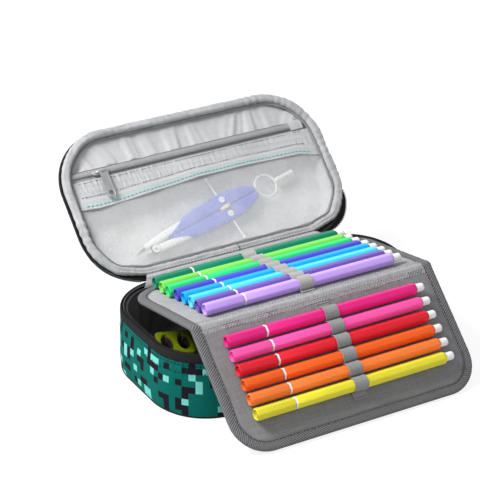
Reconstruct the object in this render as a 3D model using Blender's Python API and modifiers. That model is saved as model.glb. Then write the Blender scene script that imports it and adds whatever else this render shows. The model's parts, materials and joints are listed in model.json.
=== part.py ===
"""Pencil pouch, opened for use.

A zipped clamshell case stands with its lid leaning back. A flap of two stiffened
panels is sewn inside the back wall: the upper panel holds eight fibre pens under an
elastic strip, and the lower one, folded down over the front rim, holds six. The lid
has a zipped mesh pocket with a pair of compasses in it, and a two hole sharpener lies
in the tub.

The origin is the middle of the underside. X runs along the case, Y from front to
back and Z up. Lengths are in metres.
"""

import math

import bmesh
import bpy

# Case
CASE_LENGTH = 0.2150
CASE_DEPTH = 0.1160
TUB_HEIGHT = 0.0472
CORNER_RADIUS = 0.0400
CLEARANCE = 0.0003
OVERRUN = 0.0020
ARC_STEPS = 7

# Tub
SIDE_WALL = 0.0016
PIPING_RADIUS = 0.0013
BASE_THICKNESS = 0.0020
LINING = 0.0016
LINING_DROP = 0.0027
TAPE = 0.0008
TAPE_WIDTH = 0.0057
COIL_RADIUS = 0.0011
COIL_STEP = 0.0005

# Lid, in its own frame: Y from the hinge to the free edge, Z out of the inner face
LID_LENGTH_STEP = -0.0020
LID_DEPTH_STEP = 0.0010
LID_CORNER_STEP = 0.0020
LID_LEAN = math.radians(43.2)
HINGE_BEAD = 0.0009
LID_TAPE_EDGE = 0.0012
LID_TAPE_HEIGHT = 0.0078
LID_SHELL_HEIGHT = 0.0097
LID_SHELL = 0.0020
LID_EDGE_RADIUS = 0.0080
LID_LINING = 0.0010
LID_LINING_INSET = 0.0080
ROLL_RADIUS = 0.0034
ROLL_INSET = 0.0047
ROLL_REAR_INSET = 0.0078
ROLL_DEPTH = 0.0059

# Lid pocket, whose band and zip are measured from the lid's free edge
POCKET_FABRIC = 0.0008
POCKET_DEPTH = 0.0055
BAND_SETBACK = 0.0533
ZIP_SETBACK = 0.0343
ZIP_WIDTH = 0.0086
POCKET_COIL_WIDTH = 0.0024
POCKET_COIL_HEIGHT = 0.0012

# Pocket slider and its pull
SLIDER_SETBACK = 0.0325
SLIDER_LENGTH = 0.0105
SLIDER_WIDTH = 0.0066
SLIDER_WALL = 0.0008
EAR_HEIGHT = 0.0018
EAR_WIDTH = 0.0009
PULL_LENGTH = 0.0220
PULL_WIDTH = 0.0064
PULL_THICKNESS = 0.0012
PULL_HOLE = 0.0017
PULL_TILT = math.radians(5.0)

# Main zip's slider and pull, on the rear right corner
MAIN_SLIDER_TURN = math.radians(22.0)
MAIN_SLIDER_LENGTH = 0.0100
MAIN_SLIDER_WALL = 0.0008
MAIN_SLIDER_SKIRT = 0.0030
CHORD_ROOM = 0.0004
MAIN_PULL_LENGTH = 0.0240
MAIN_PULL_WIDTH = 0.0070

# Flap, as two panels that hang on a root bead and on a fold bead
FLAP_OFFSET = 0.0012
FLAP_SIDE_ROOM = 0.0132
ROOT_SETBACK = 0.0085
ROOT_DROP = 0.0012
FOLD_SETBACK = 0.0136
FOLD_RISE = 0.0170
LOWER_FALL = math.radians(42.7)
PANEL = 0.0020
FLAP_BEAD = 0.0010
FOLD_BEAD = 0.0017
LOWER_CORNER = 0.0253
REAR_CORNER = 0.0150
BINDING = 0.0004
BINDING_WIDTH = 0.0072
ROOT_TAPE = 0.0008
ROOT_TAPE_SIDE_ROOM = 0.0015
ROOT_TAPE_DROP = 0.0105

# Fibre pens, measured along X from the closed end of the cap
PEN_ACROSS = 0.0080
PEN_CORNER_SHARE = 0.22
PEN_LENGTH = 0.1544
CAP_LENGTH = 0.0286
CAP_WALL = 0.0005
CAP_CHAMFER = 0.0008
RECESS_DEPTH = 0.0025
RECESS_WALL = 0.0011
CAP_FLOOR = 0.0020
RING_WIDTH = 0.0012
RING_STEP = 0.0001
SHOULDER = 0.0016
PLUG_RADIUS = 0.0030
PLUG_LENGTH = 0.0060
PLUG_ROUND = 0.0006
NECK_START = 0.0170
NOSE_START = 0.0110
NOSE_RADIUS = 0.0018
NIB_START = 0.0072
NIB_RADIUS = 0.0008
UPPER_PENS_INSET = 0.0178
LOWER_PENS_INSET = 0.0177
UPPER_PEN_SHARES = (0.084, 0.2175, 0.327, 0.4365, 0.546, 0.6555, 0.765, 0.8745)
LOWER_PEN_SHARES = (0.175, 0.287, 0.398, 0.510, 0.621, 0.733)

# Elastic strips
ELASTIC = 0.0006
ELASTIC_WIDTH = 0.0104
ELASTIC_TAB = 0.0055
ELASTIC_SHORT_TAB = 0.0020
UPPER_ELASTIC_AT = 0.0762
LOWER_ELASTIC_AT = 0.0787
LOOP_STEPS = 9

# Pair of compasses, measured from the needle's tip
COMPASS_TIP_X = -0.0675
COMPASS_TIP_Y = 0.0223
COMPASS_TURN = math.radians(13.4)
COMPASS_LEG_END = 0.0090
COMPASS_HALF_WIDTH = 0.0115
COMPASS_BODY_END = 0.1120
COMPASS_THICKNESS = 0.0050
COMPASS_SLIT = 0.0010
NEEDLE_RADIUS = 0.0006
SPINDLE_AT = 0.0824
SPINDLE_LENGTH = 0.0530
SPINDLE_RADIUS = 0.0007
SPINDLE_KNOB = 0.0013
WHEEL_RADIUS = 0.0046
WHEEL_WIDTH = 0.0026
WHEEL_SLOT_LENGTH = 0.0150
SCREW_OFFSET = 0.0060
SCREW_RADIUS = 0.0024
SCREW_HEIGHT = 0.0008
RING_RADIUS = 0.0086
RING_WIRE = 0.0007
GRIP_RADIUS = 0.0018
GRIP_LENGTH = 0.0180
LEAF_SHARES = (
    (0.00, 0.50),
    (0.05, 0.62),
    (0.25, 0.70),
    (0.48, 0.88),
    (0.68, 1.00),
    (0.80, 0.96),
    (0.90, 0.74),
    (0.97, 0.42),
)

# Sharpener
SHARPENER_SETBACK = 0.0270
SHARPENER_LENGTH = 0.0310
SHARPENER_WIDTH = 0.0250
SHARPENER_HEIGHT = 0.0260
SHARPENER_TURN = math.radians(-20.0)
SHARPENER_ROUND = 0.0020
SHARPENER_FLOOR = 0.0030
WELL_LENGTH = 0.0220
WELL_WIDTH = 0.0076
WELL_PITCH = 0.0112

# Worked out from the above
HALF_LENGTH = CASE_LENGTH / 2
HALF_DEPTH = CASE_DEPTH / 2
REAR_STRAIGHT = HALF_LENGTH - CORNER_RADIUS
TAPE_BOTTOM = TUB_HEIGHT - TAPE_WIDTH
SIDE_WALL_TOP = TAPE_BOTTOM - CLEARANCE
LINING_TOP = TUB_HEIGHT - LINING_DROP
HINGE_Y = HALF_DEPTH + CLEARANCE
HINGE_Z = TUB_HEIGHT + CLEARANCE
COIL_INSET = TAPE + CLEARANCE + COIL_RADIUS
COIL_Z = TUB_HEIGHT - COIL_RADIUS + CLEARANCE
WALL_BOTTOM = 2 * PIPING_RADIUS + CLEARANCE
LINING_INSET = COIL_INSET + COIL_STEP + CLEARANCE
LINING_BOTTOM = BASE_THICKNESS + CLEARANCE
FLOOR_TOP = LINING_BOTTOM + LINING
LID_LENGTH = CASE_LENGTH + LID_LENGTH_STEP
LID_DEPTH = CASE_DEPTH + LID_DEPTH_STEP
LID_CORNER = CORNER_RADIUS + LID_CORNER_STEP
LID_TAPE_BOTTOM = -LID_TAPE_EDGE - LID_TAPE_HEIGHT
LID_RIM = LID_TAPE_BOTTOM - CLEARANCE
LID_FACE = LID_RIM - LID_SHELL_HEIGHT
LID_LINING_TOP = LID_FACE + LID_SHELL + CLEARANCE + LID_LINING
LID_CENTRE = CLEARANCE + LID_DEPTH / 2
ROLL_INNER = ROLL_INSET + ROLL_RADIUS
POCKET_INSET = ROLL_INNER + CLEARANCE
POCKET_TOP = POCKET_FABRIC - POCKET_DEPTH
BAND_START = CLEARANCE + LID_DEPTH - BAND_SETBACK
ZIP_START = CLEARANCE + LID_DEPTH - ZIP_SETBACK
ZIP_END = ZIP_START + ZIP_WIDTH
POCKET_COIL_Y = ZIP_START + ZIP_WIDTH / 2
SLIDER_X = SLIDER_SETBACK - LID_LENGTH / 2
PANEL_HALF = PANEL / 2
BINDING_HALF = PANEL_HALF + CLEARANCE + BINDING
ROOT_REACH = FLAP_BEAD + CLEARANCE
FOLD_REACH = FOLD_BEAD + CLEARANCE
FLAP_WIDTH = CASE_LENGTH - 2 * FLAP_SIDE_ROOM
ROOT_Y = HALF_DEPTH - ROOT_SETBACK
ROOT_Z = TUB_HEIGHT - ROOT_DROP
FOLD_Y = FOLD_SETBACK - HALF_DEPTH
FOLD_Z = TUB_HEIGHT + FOLD_RISE
UPPER_RISE = math.atan2(FOLD_Z - ROOT_Z, ROOT_Y - FOLD_Y)
UPPER_LENGTH = math.hypot(FOLD_Z - ROOT_Z, ROOT_Y - FOLD_Y)
LOWER_DROP = FOLD_Z - CLEARANCE - BINDING_HALF * math.cos(LOWER_FALL)
LOWER_LENGTH = LOWER_DROP / math.sin(LOWER_FALL)
PEN_HALF = PEN_ACROSS / 2
PEN_RISE = BINDING_HALF + CLEARANCE + PEN_HALF
LOOP_INNER = PEN_HALF / math.cos(math.pi / 6) + CLEARANCE
LOOP_OUTER = LOOP_INNER + ELASTIC
COMPASS_Z = LID_LINING_TOP + CLEARANCE + WHEEL_RADIUS
SHARPENER_X = SHARPENER_SETBACK - HALF_LENGTH
SHARPENER_Z = FLOOR_TOP + CLEARANCE

# Pen colours, as shown from the root of the flap to its hem
UPPER_PENS = (
    ("dark_green", (0, 142, 104)),
    ("lime", (126, 232, 84)),
    ("emerald", (40, 230, 128)),
    ("indigo", (72, 78, 214)),
    ("sky_blue", (0, 170, 245)),
    ("cyan", (84, 218, 252)),
    ("dark_purple", (112, 84, 178)),
    ("lilac", (196, 162, 246)),
)
LOWER_PENS = (
    ("magenta", (226, 28, 126)),
    ("pink", (250, 84, 168)),
    ("red", (220, 24, 44)),
    ("orange", (240, 94, 22)),
    ("apricot", (250, 124, 50)),
    ("yellow", (226, 216, 48)),
)

FABRIC_ROUGHNESS = 0.85
PLASTIC_ROUGHNESS = 0.35
METAL_ROUGHNESS = 0.30


# Scene

for old in list(bpy.data.objects):
    bpy.data.objects.remove(old)

pouch = bpy.data.collections.new("pencil_pouch")
cutters = bpy.data.collections.new("cutters")
for collection in (pouch, cutters):
    bpy.context.scene.collection.children.link(collection)


def linear(colour):
    """Display values from 0 to 255, as the linear values that a shader takes."""
    return [((value / 255 + 0.055) / 1.055) ** 2.4 if value > 10 else value / 255 / 12.92 for value in colour]


def finish(name, colour, roughness, metallic=0.0):
    material = bpy.data.materials.new(name)
    material.use_nodes = True
    shader = material.node_tree.nodes["Principled BSDF"]
    shader.inputs["Base Color"].default_value = (*linear(colour), 1)
    shader.inputs["Roughness"].default_value = roughness
    shader.inputs["Metallic"].default_value = metallic
    material.diffuse_color = (*linear(colour), 1)
    return material


PRINT = finish("printed_fabric", (0, 120, 110), FABRIC_ROUGHNESS)
BLACK = finish("black_fabric", (30, 30, 32), FABRIC_ROUGHNESS)
DARK_LINING = finish("dark_lining", (44, 44, 46), FABRIC_ROUGHNESS)
LIGHT_LINING = finish("light_lining", (196, 196, 198), FABRIC_ROUGHNESS)
MESH = finish("sheer_mesh", (214, 214, 216), FABRIC_ROUGHNESS)
GREY = finish("grey_panel", (134, 134, 136), FABRIC_ROUGHNESS)
RIBBED = finish("grey_binding", (112, 112, 114), FABRIC_ROUGHNESS)
ELASTIC_GREY = finish("grey_elastic", (150, 150, 150), FABRIC_ROUGHNESS)
STEEL = finish("nickel", (176, 176, 180), METAL_ROUGHNESS, 1.0)
GUNMETAL = finish("gunmetal", (70, 70, 74), METAL_ROUGHNESS, 1.0)
BLUE = finish("blue_plastic", (92, 108, 214), PLASTIC_ROUGHNESS)
WHITE = finish("white_plastic", (240, 240, 240), PLASTIC_ROUGHNESS)
GREEN = finish("green_plastic", (150, 190, 20), PLASTIC_ROUGHNESS)


# Outlines

def arc(centre_x, centre_y, radius, start, steps=ARC_STEPS, sweep=-math.pi / 2):
    """Points of a circle from a start angle through a sweep, clockwise when it is negative."""
    turns = [start + sweep * step / steps for step in range(steps + 1)]
    return [(centre_x + radius * math.cos(turn), centre_y + radius * math.sin(turn)) for turn in turns]


def rounded(length, depth, radius, inset=0.0, centre_y=0.0, rear_inset=None):
    """Round cornered rectangle, clockwise from the rear right corner to the rear left one."""
    half_x = length / 2 - radius
    front = centre_y - depth / 2 + radius
    rear = centre_y + depth / 2 - radius
    if rear_inset is not None:
        rear = rear + inset - rear_inset
    size = radius - inset
    return (
        arc(half_x, rear, size, math.pi / 2)
        + arc(half_x, front, size, 0)
        + arc(-half_x, front, size, -math.pi / 2)
        + arc(-half_x, rear, size, -math.pi)
    )


def tub_outline(inset):
    return rounded(CASE_LENGTH, CASE_DEPTH, CORNER_RADIUS, inset)


def lid_outline(inset, rear_inset=None):
    """The lid's outline in its own frame, where the hinge side is at the low Y end."""
    points = rounded(LID_LENGTH, LID_DEPTH, LID_CORNER, inset, -LID_CENTRE, rear_inset)
    return [(x, -y) for x, y in points]


def ribbon(outer, inner):
    """An open path given a width, as one closed outline."""
    return outer + inner[::-1]


def tongue(start, end, radius, inset=0.0):
    """Three sides of a panel with round far corners, from its right side at start round to its left."""
    reach = math.copysign(1, end - start)
    half = FLAP_WIDTH / 2 - radius
    size = radius - inset
    far = end - reach * radius
    right = arc(half, far, size, 0, sweep=reach * math.pi / 2)
    left = arc(-half, far, size, reach * math.pi / 2, sweep=reach * math.pi / 2)
    edge = FLAP_WIDTH / 2 - inset
    return [(edge, start)] + right + left + [(-edge, start)]


# Making pieces

def place(piece, parent, location=(0, 0, 0), rotation=(0, 0, 0)):
    piece.parent = parent
    piece.location = location
    piece.rotation_euler = rotation
    return piece


def frame(name, parent, location, rotation=(0, 0, 0)):
    """An empty on a joint's axis or at a group's own origin."""
    empty = bpy.data.objects.new(name, None)
    pouch.objects.link(empty)
    return place(empty, parent, location, rotation)


def add(name, data, material, parent=None, location=(0, 0, 0), rotation=(0, 0, 0)):
    piece = bpy.data.objects.new(name, data)
    data.materials.append(material)
    pouch.objects.link(piece)
    return place(piece, parent, location, rotation)


def path_curve(name, outlines, dimensions="2D", cyclic=True):
    curve = bpy.data.curves.new(name, "CURVE")
    curve.dimensions = dimensions
    for outline in outlines:
        spline = curve.splines.new("POLY")
        spline.points.add(len(outline) - 1)
        for point, place_on_path in zip(spline.points, outline):
            point.co = (*place_on_path, 0, 0, 1)[:2] + ((*place_on_path, 0)[2], 1)
        spline.use_cyclic_u = cyclic
    return curve


def plate(name, outlines, bottom, top, material, parent=None, location=(0, 0), turn=0.0):
    """Flat outlines, the second and later ones being holes, between two heights."""
    curve = path_curve(name, outlines)
    curve.fill_mode = "BOTH"
    curve.extrude = (top - bottom) / 2
    return add(name, curve, material, parent, (*location, (top + bottom) / 2), (0, 0, turn))


def extrusion(name, outline, start, end, material, parent=None):
    """An outline in the YZ plane between two places along X."""
    curve = path_curve(name, [outline])
    curve.fill_mode = "BOTH"
    curve.extrude = (end - start) / 2
    return add(name, curve, material, parent, ((start + end) / 2, 0, 0), (math.pi / 2, 0, math.pi / 2))


def cord(name, points, radius, material, parent=None, height=0.0, cyclic=False):
    """A round tube along a flat path."""
    curve = path_curve(name, [points], "3D", cyclic)
    curve.bevel_depth = radius
    curve.bevel_resolution = 2
    curve.use_fill_caps = True
    return add(name, curve, material, parent, (0, 0, height))


def tray(name, outline, bottom, height, wall, material, parent=None, edge_radius=0.0):
    """An open dish: a floor and side walls, given their thickness inwards."""
    mesh = bpy.data.meshes.new(name)
    shape = bmesh.new()
    floor = shape.faces.new([shape.verts.new((x, y, bottom)) for x, y in outline])
    floor.normal_update()
    if floor.normal.z > 0:
        floor.normal_flip()
    raised = bmesh.ops.extrude_edge_only(shape, edges=list(shape.edges))
    rim = [item for item in raised["geom"] if isinstance(item, bmesh.types.BMVert)]
    bmesh.ops.translate(shape, verts=rim, vec=(0, 0, height))
    bmesh.ops.recalc_face_normals(shape, faces=list(shape.faces))
    if floor.normal.z > 0:
        bmesh.ops.reverse_faces(shape, faces=list(shape.faces))
    shape.to_mesh(mesh)
    shape.free()
    piece = add(name, mesh, material, parent)
    if edge_radius:
        rounding = piece.modifiers.new("rounding", "BEVEL")
        rounding.width = edge_radius
        rounding.segments = 4
        rounding.limit_method = "ANGLE"
        rounding.angle_limit = math.radians(60)
    shell = piece.modifiers.new("wall", "SOLIDIFY")
    shell.thickness = wall
    shell.offset = -1
    shell.use_even_offset = True
    return piece


def loft(name, rings, material, parent=None, location=(0, 0, 0), rotation=(0, 0, 0)):
    """A closed skin through rings of as many points each, with a face over both end rings."""
    mesh = bpy.data.meshes.new(name)
    shape = bmesh.new()
    rows = [[shape.verts.new(point) for point in ring] for ring in rings]
    count = len(rows[0])
    for row, following in zip(rows, rows[1:]):
        for step in range(count):
            after = (step + 1) % count
            shape.faces.new((row[step], row[after], following[after], following[step]))
    shape.faces.new(rows[0])
    shape.faces.new(rows[-1])
    bmesh.ops.recalc_face_normals(shape, faces=list(shape.faces))
    shape.to_mesh(mesh)
    shape.free()
    mesh.shade_smooth()
    mesh.set_sharp_from_angle(angle=math.radians(25))
    return add(name, mesh, material, parent, location, rotation)


def as_mesh(piece):
    """The piece with its curve made a mesh and its caps welded, ready for a Boolean."""
    bpy.context.view_layer.update()
    graph = bpy.context.evaluated_depsgraph_get()
    mesh = bpy.data.meshes.new_from_object(piece.evaluated_get(graph))
    shape = bmesh.new()
    shape.from_mesh(mesh)
    bmesh.ops.remove_doubles(shape, verts=list(shape.verts), dist=CLEARANCE / 100)
    bmesh.ops.recalc_face_normals(shape, faces=list(shape.faces))
    shape.to_mesh(mesh)
    shape.free()
    name = piece.name
    parent = piece.parent
    basis = piece.matrix_basis.copy()
    bpy.data.objects.remove(piece)
    solid = bpy.data.objects.new(name, mesh)
    pouch.objects.link(solid)
    solid.parent = parent
    solid.matrix_basis = basis
    return solid


def combine(piece, tool, operation):
    """A Boolean with a piece that is then kept only as a hidden guide."""
    for collection in tool.users_collection:
        collection.objects.unlink(tool)
    cutters.objects.link(tool)
    tool.hide_render = True
    tool.display_type = "WIRE"
    step = piece.modifiers.new(tool.name, "BOOLEAN")
    step.operation = operation
    step.object = tool
    step.solver = "EXACT"


def rod(name, radius, length, sides=12):
    """A cylinder along Z, as a mesh."""
    mesh = bpy.data.meshes.new(name)
    shape = bmesh.new()
    bmesh.ops.create_cone(
        shape, cap_ends=True, segments=sides, radius1=radius, radius2=radius, depth=length
    )
    shape.to_mesh(mesh)
    shape.free()
    return mesh


# Tub

def make_tub():
    plate("tub_base_panel", [tub_outline(2 * PIPING_RADIUS + CLEARANCE)], 0, BASE_THICKNESS, BLACK)
    edge = tub_outline(PIPING_RADIUS)
    cord("tub_base_piping", edge, PIPING_RADIUS, BLACK, height=PIPING_RADIUS, cyclic=True)
    plate("tub_side_wall", [tub_outline(0), tub_outline(SIDE_WALL)], WALL_BOTTOM, SIDE_WALL_TOP, PRINT)
    dish = tub_outline(LINING_INSET)
    tray("tub_lining", dish, LINING_BOTTOM, LINING_TOP - LINING_BOTTOM, LINING, DARK_LINING)
    tape = ribbon(tub_outline(0), tub_outline(TAPE))
    plate("tub_zip_tape", [tape], TAPE_BOTTOM, TUB_HEIGHT, BLACK)
    cord("tub_zip_coil", tub_outline(COIL_INSET), COIL_RADIUS, BLACK, height=COIL_Z)


def make_hinge_strip():
    """The fabric hinge's tub half: a strip on the wall's top edge that ends in a bead on the axis."""
    low = TAPE_BOTTOM
    neck = math.asin(TAPE / 2 / HINGE_BEAD)
    outer = HALF_DEPTH
    inner = HALF_DEPTH - TAPE
    bead = arc(HINGE_Y, HINGE_Z, HINGE_BEAD, -math.pi / 2 - neck, sweep=2 * neck - 2 * math.pi)
    bend = HINGE_Z - HINGE_BEAD - TAPE
    outline = [(inner, low), (inner, bend)] + bead + [(outer, bend), (outer, low)]
    half = REAR_STRAIGHT - CLEARANCE
    extrusion("back_hinge_strip", outline, -half, half, BLACK)


def make_sharpener():
    """A box with two oval wells, standing on the tub's floor."""
    holder = frame("sharpener_place", None, (SHARPENER_X, 0, SHARPENER_Z), (0, 0, SHARPENER_TURN))
    outline = rounded(SHARPENER_WIDTH, SHARPENER_LENGTH, SHARPENER_ROUND)
    body = as_mesh(plate("sharpener", [outline], 0, SHARPENER_HEIGHT, GREEN, holder))
    for side in (-1, 1):
        well = add("sharpener_well", rod("sharpener_well", WELL_WIDTH / 2, SHARPENER_HEIGHT), GREEN, holder)
        well.data.transform(
            ((1, 0, 0, 0), (0, WELL_LENGTH / WELL_WIDTH, 0, 0), (0, 0, 1, 0), (0, 0, 0, 1))
        )
        well.location = (side * WELL_PITCH / 2, 0, SHARPENER_FLOOR + SHARPENER_HEIGHT / 2)
        combine(body, well, "DIFFERENCE")


# Lid

def make_lid(hinge):
    edge = lid_outline(0)
    shell = tray("lid_shell", edge, LID_FACE, LID_SHELL_HEIGHT, LID_SHELL, PRINT, hinge, LID_EDGE_RADIUS)
    shell.modifiers["rounding"].loop_slide = False
    plate(
        "lid_zip_tape",
        [lid_outline(0), lid_outline(TAPE)],
        LID_TAPE_BOTTOM,
        -LID_TAPE_EDGE,
        BLACK,
        hinge,
    )
    coil_height = -LID_TAPE_EDGE - COIL_RADIUS + CLEARANCE
    cord("lid_zip_coil", lid_outline(COIL_INSET), COIL_RADIUS, BLACK, hinge, coil_height)
    lining_bottom = LID_FACE + LID_SHELL + CLEARANCE
    plate("lid_lining", [lid_outline(LID_LINING_INSET)], lining_bottom, LID_LINING_TOP, LIGHT_LINING, hinge)
    roll = lid_outline(ROLL_INSET, ROLL_REAR_INSET)
    cord("lid_rim_roll", roll, ROLL_RADIUS, LIGHT_LINING, hinge, -ROLL_DEPTH, cyclic=True)


def pocket_strip(start, end):
    """The part of the lid's pocket front between two places up the lid."""
    whole = lid_outline(POCKET_INSET, ROLL_REAR_INSET + ROLL_RADIUS + CLEARANCE)
    kept = [(x, y) for x, y in whole if start < y < end]
    right = [(x, y) for x, y in kept if x > 0]
    left = [(x, y) for x, y in kept if x < 0]

    def width_at(level):
        """Half the pocket's width at a place up the lid, read off the outline's right side."""
        side = sorted((y, x) for x, y in whole if x > 0)
        for (low, near), (high, far) in zip(side, side[1:]):
            if low <= level <= high:
                return near + (far - near) * (level - low) / (high - low)
        return None

    low_half = width_at(start)
    high_half = width_at(end)
    outline = right + left
    if low_half is not None:
        outline = [(-low_half, start), (low_half, start)] + right + left
    if high_half is not None:
        outline = outline[: len(outline) - len(left)] + [(high_half, end), (-high_half, end)] + left
    return outline


def make_pocket(hinge):
    bottom = -POCKET_DEPTH
    band_start = BAND_START + CLEARANCE
    plate("pocket_mesh_panel", [pocket_strip(0, BAND_START)], bottom, POCKET_TOP, MESH, hinge)
    plate("pocket_band", [pocket_strip(band_start, ZIP_START)], bottom, POCKET_TOP, LIGHT_LINING, hinge)
    top_start = ZIP_END + CLEARANCE
    plate("pocket_top_panel", [pocket_strip(top_start, LID_DEPTH)], bottom, POCKET_TOP, LIGHT_LINING, hinge)
    half_coil = POCKET_COIL_WIDTH / 2
    coil_top = POCKET_TOP + POCKET_COIL_HEIGHT
    outline = [
        (ZIP_START + CLEARANCE, bottom),
        (ZIP_START + CLEARANCE, POCKET_TOP),
        (POCKET_COIL_Y - half_coil, POCKET_TOP),
        (POCKET_COIL_Y - half_coil / 2, coil_top),
        (POCKET_COIL_Y + half_coil / 2, coil_top),
        (POCKET_COIL_Y + half_coil, POCKET_TOP),
        (ZIP_END, POCKET_TOP),
        (ZIP_END, bottom),
    ]
    half = min(abs(x) for x, y in pocket_strip(ZIP_START, ZIP_END))
    extrusion("pocket_zip", outline, -half, half, GREY, hinge)


def pull_outline(length, width, hole):
    """A tab with one round end, hanging towards low Y, and the hole near that end."""
    half = width / 2
    tab = [(-half, 0), (half, 0)] + arc(0, half - length, half, 0, sweep=-math.pi)
    return [tab, arc(0, half - length, hole, 0, steps=11, sweep=-math.pi * 11 / 6)]


def make_pocket_slider(hinge):
    carriage = frame("pocket_slide", hinge, (SLIDER_X, POCKET_COIL_Y, POCKET_TOP))
    foot = CLEARANCE
    room = POCKET_COIL_WIDTH / 2 + CLEARANCE
    ceiling = POCKET_COIL_HEIGHT + CLEARANCE
    half = SLIDER_WIDTH / 2
    top = ceiling + SLIDER_WALL
    channel = [
        (-half, foot),
        (-half, top),
        (half, top),
        (half, foot),
        (room, foot),
        (room, ceiling),
        (-room, ceiling),
        (-room, foot),
    ]
    body = as_mesh(
        extrusion("pocket_slider", channel, -SLIDER_LENGTH / 2, SLIDER_LENGTH / 2, STEEL, carriage)
    )
    for side in (-1, 1):
        ear_middle = side * (PULL_WIDTH + EAR_WIDTH) / 2 + side * CLEARANCE
        outline = [(-half / 2, top - SLIDER_WALL / 2), (-half / 2, top + EAR_HEIGHT)]
        outline += [(half / 2, top + EAR_HEIGHT), (half / 2, top - SLIDER_WALL / 2)]
        ear_start = ear_middle - EAR_WIDTH / 2
        ear_end = ear_middle + EAR_WIDTH / 2
        ear = as_mesh(extrusion("pocket_ear", outline, ear_start, ear_end, STEEL, carriage))
        combine(body, ear, "UNION")
    axle = top + CLEARANCE + PULL_THICKNESS / 2
    swing = frame("pocket_pull_axis", carriage, (0, 0, axle), (PULL_TILT, 0, 0))
    plate(
        "pocket_pull",
        pull_outline(PULL_LENGTH, PULL_WIDTH, PULL_HOLE),
        -PULL_THICKNESS / 2,
        PULL_THICKNESS / 2,
        STEEL,
        swing,
    )


def make_main_slider():
    """A channel over the tub's coil and tape, with its pull hanging outside the wall."""
    turn = MAIN_SLIDER_TURN
    corner = frame(
        "rear_right_corner",
        None,
        (REAR_STRAIGHT, HALF_DEPTH - CORNER_RADIUS, 0),
        (0, 0, turn - math.pi / 2),
    )
    inner = CORNER_RADIUS - COIL_INSET - COIL_RADIUS - CHORD_ROOM - CLEARANCE
    outer = CORNER_RADIUS + CLEARANCE
    ceiling = COIL_Z + COIL_RADIUS + CLEARANCE
    top = ceiling + MAIN_SLIDER_WALL
    skirt = ceiling - MAIN_SLIDER_SKIRT
    channel = [
        (inner - MAIN_SLIDER_WALL, skirt),
        (inner - MAIN_SLIDER_WALL, top),
        (outer + MAIN_SLIDER_WALL, top),
        (outer + MAIN_SLIDER_WALL, skirt),
        (outer, skirt),
        (outer, ceiling),
        (inner, ceiling),
        (inner, skirt),
    ]
    half = MAIN_SLIDER_LENGTH / 2
    extrusion("main_slider", channel, -half, half, GUNMETAL, corner)
    reach = outer + MAIN_SLIDER_WALL + CLEARANCE + PULL_THICKNESS / 2
    swing = frame("main_pull_axis", corner, (0, reach, ceiling), (math.pi / 2, 0, 0))
    plate(
        "main_pull",
        pull_outline(MAIN_PULL_LENGTH, MAIN_PULL_WIDTH, PULL_HOLE),
        -PULL_THICKNESS / 2,
        PULL_THICKNESS / 2,
        GUNMETAL,
        swing,
    )


# Pair of compasses

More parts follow.
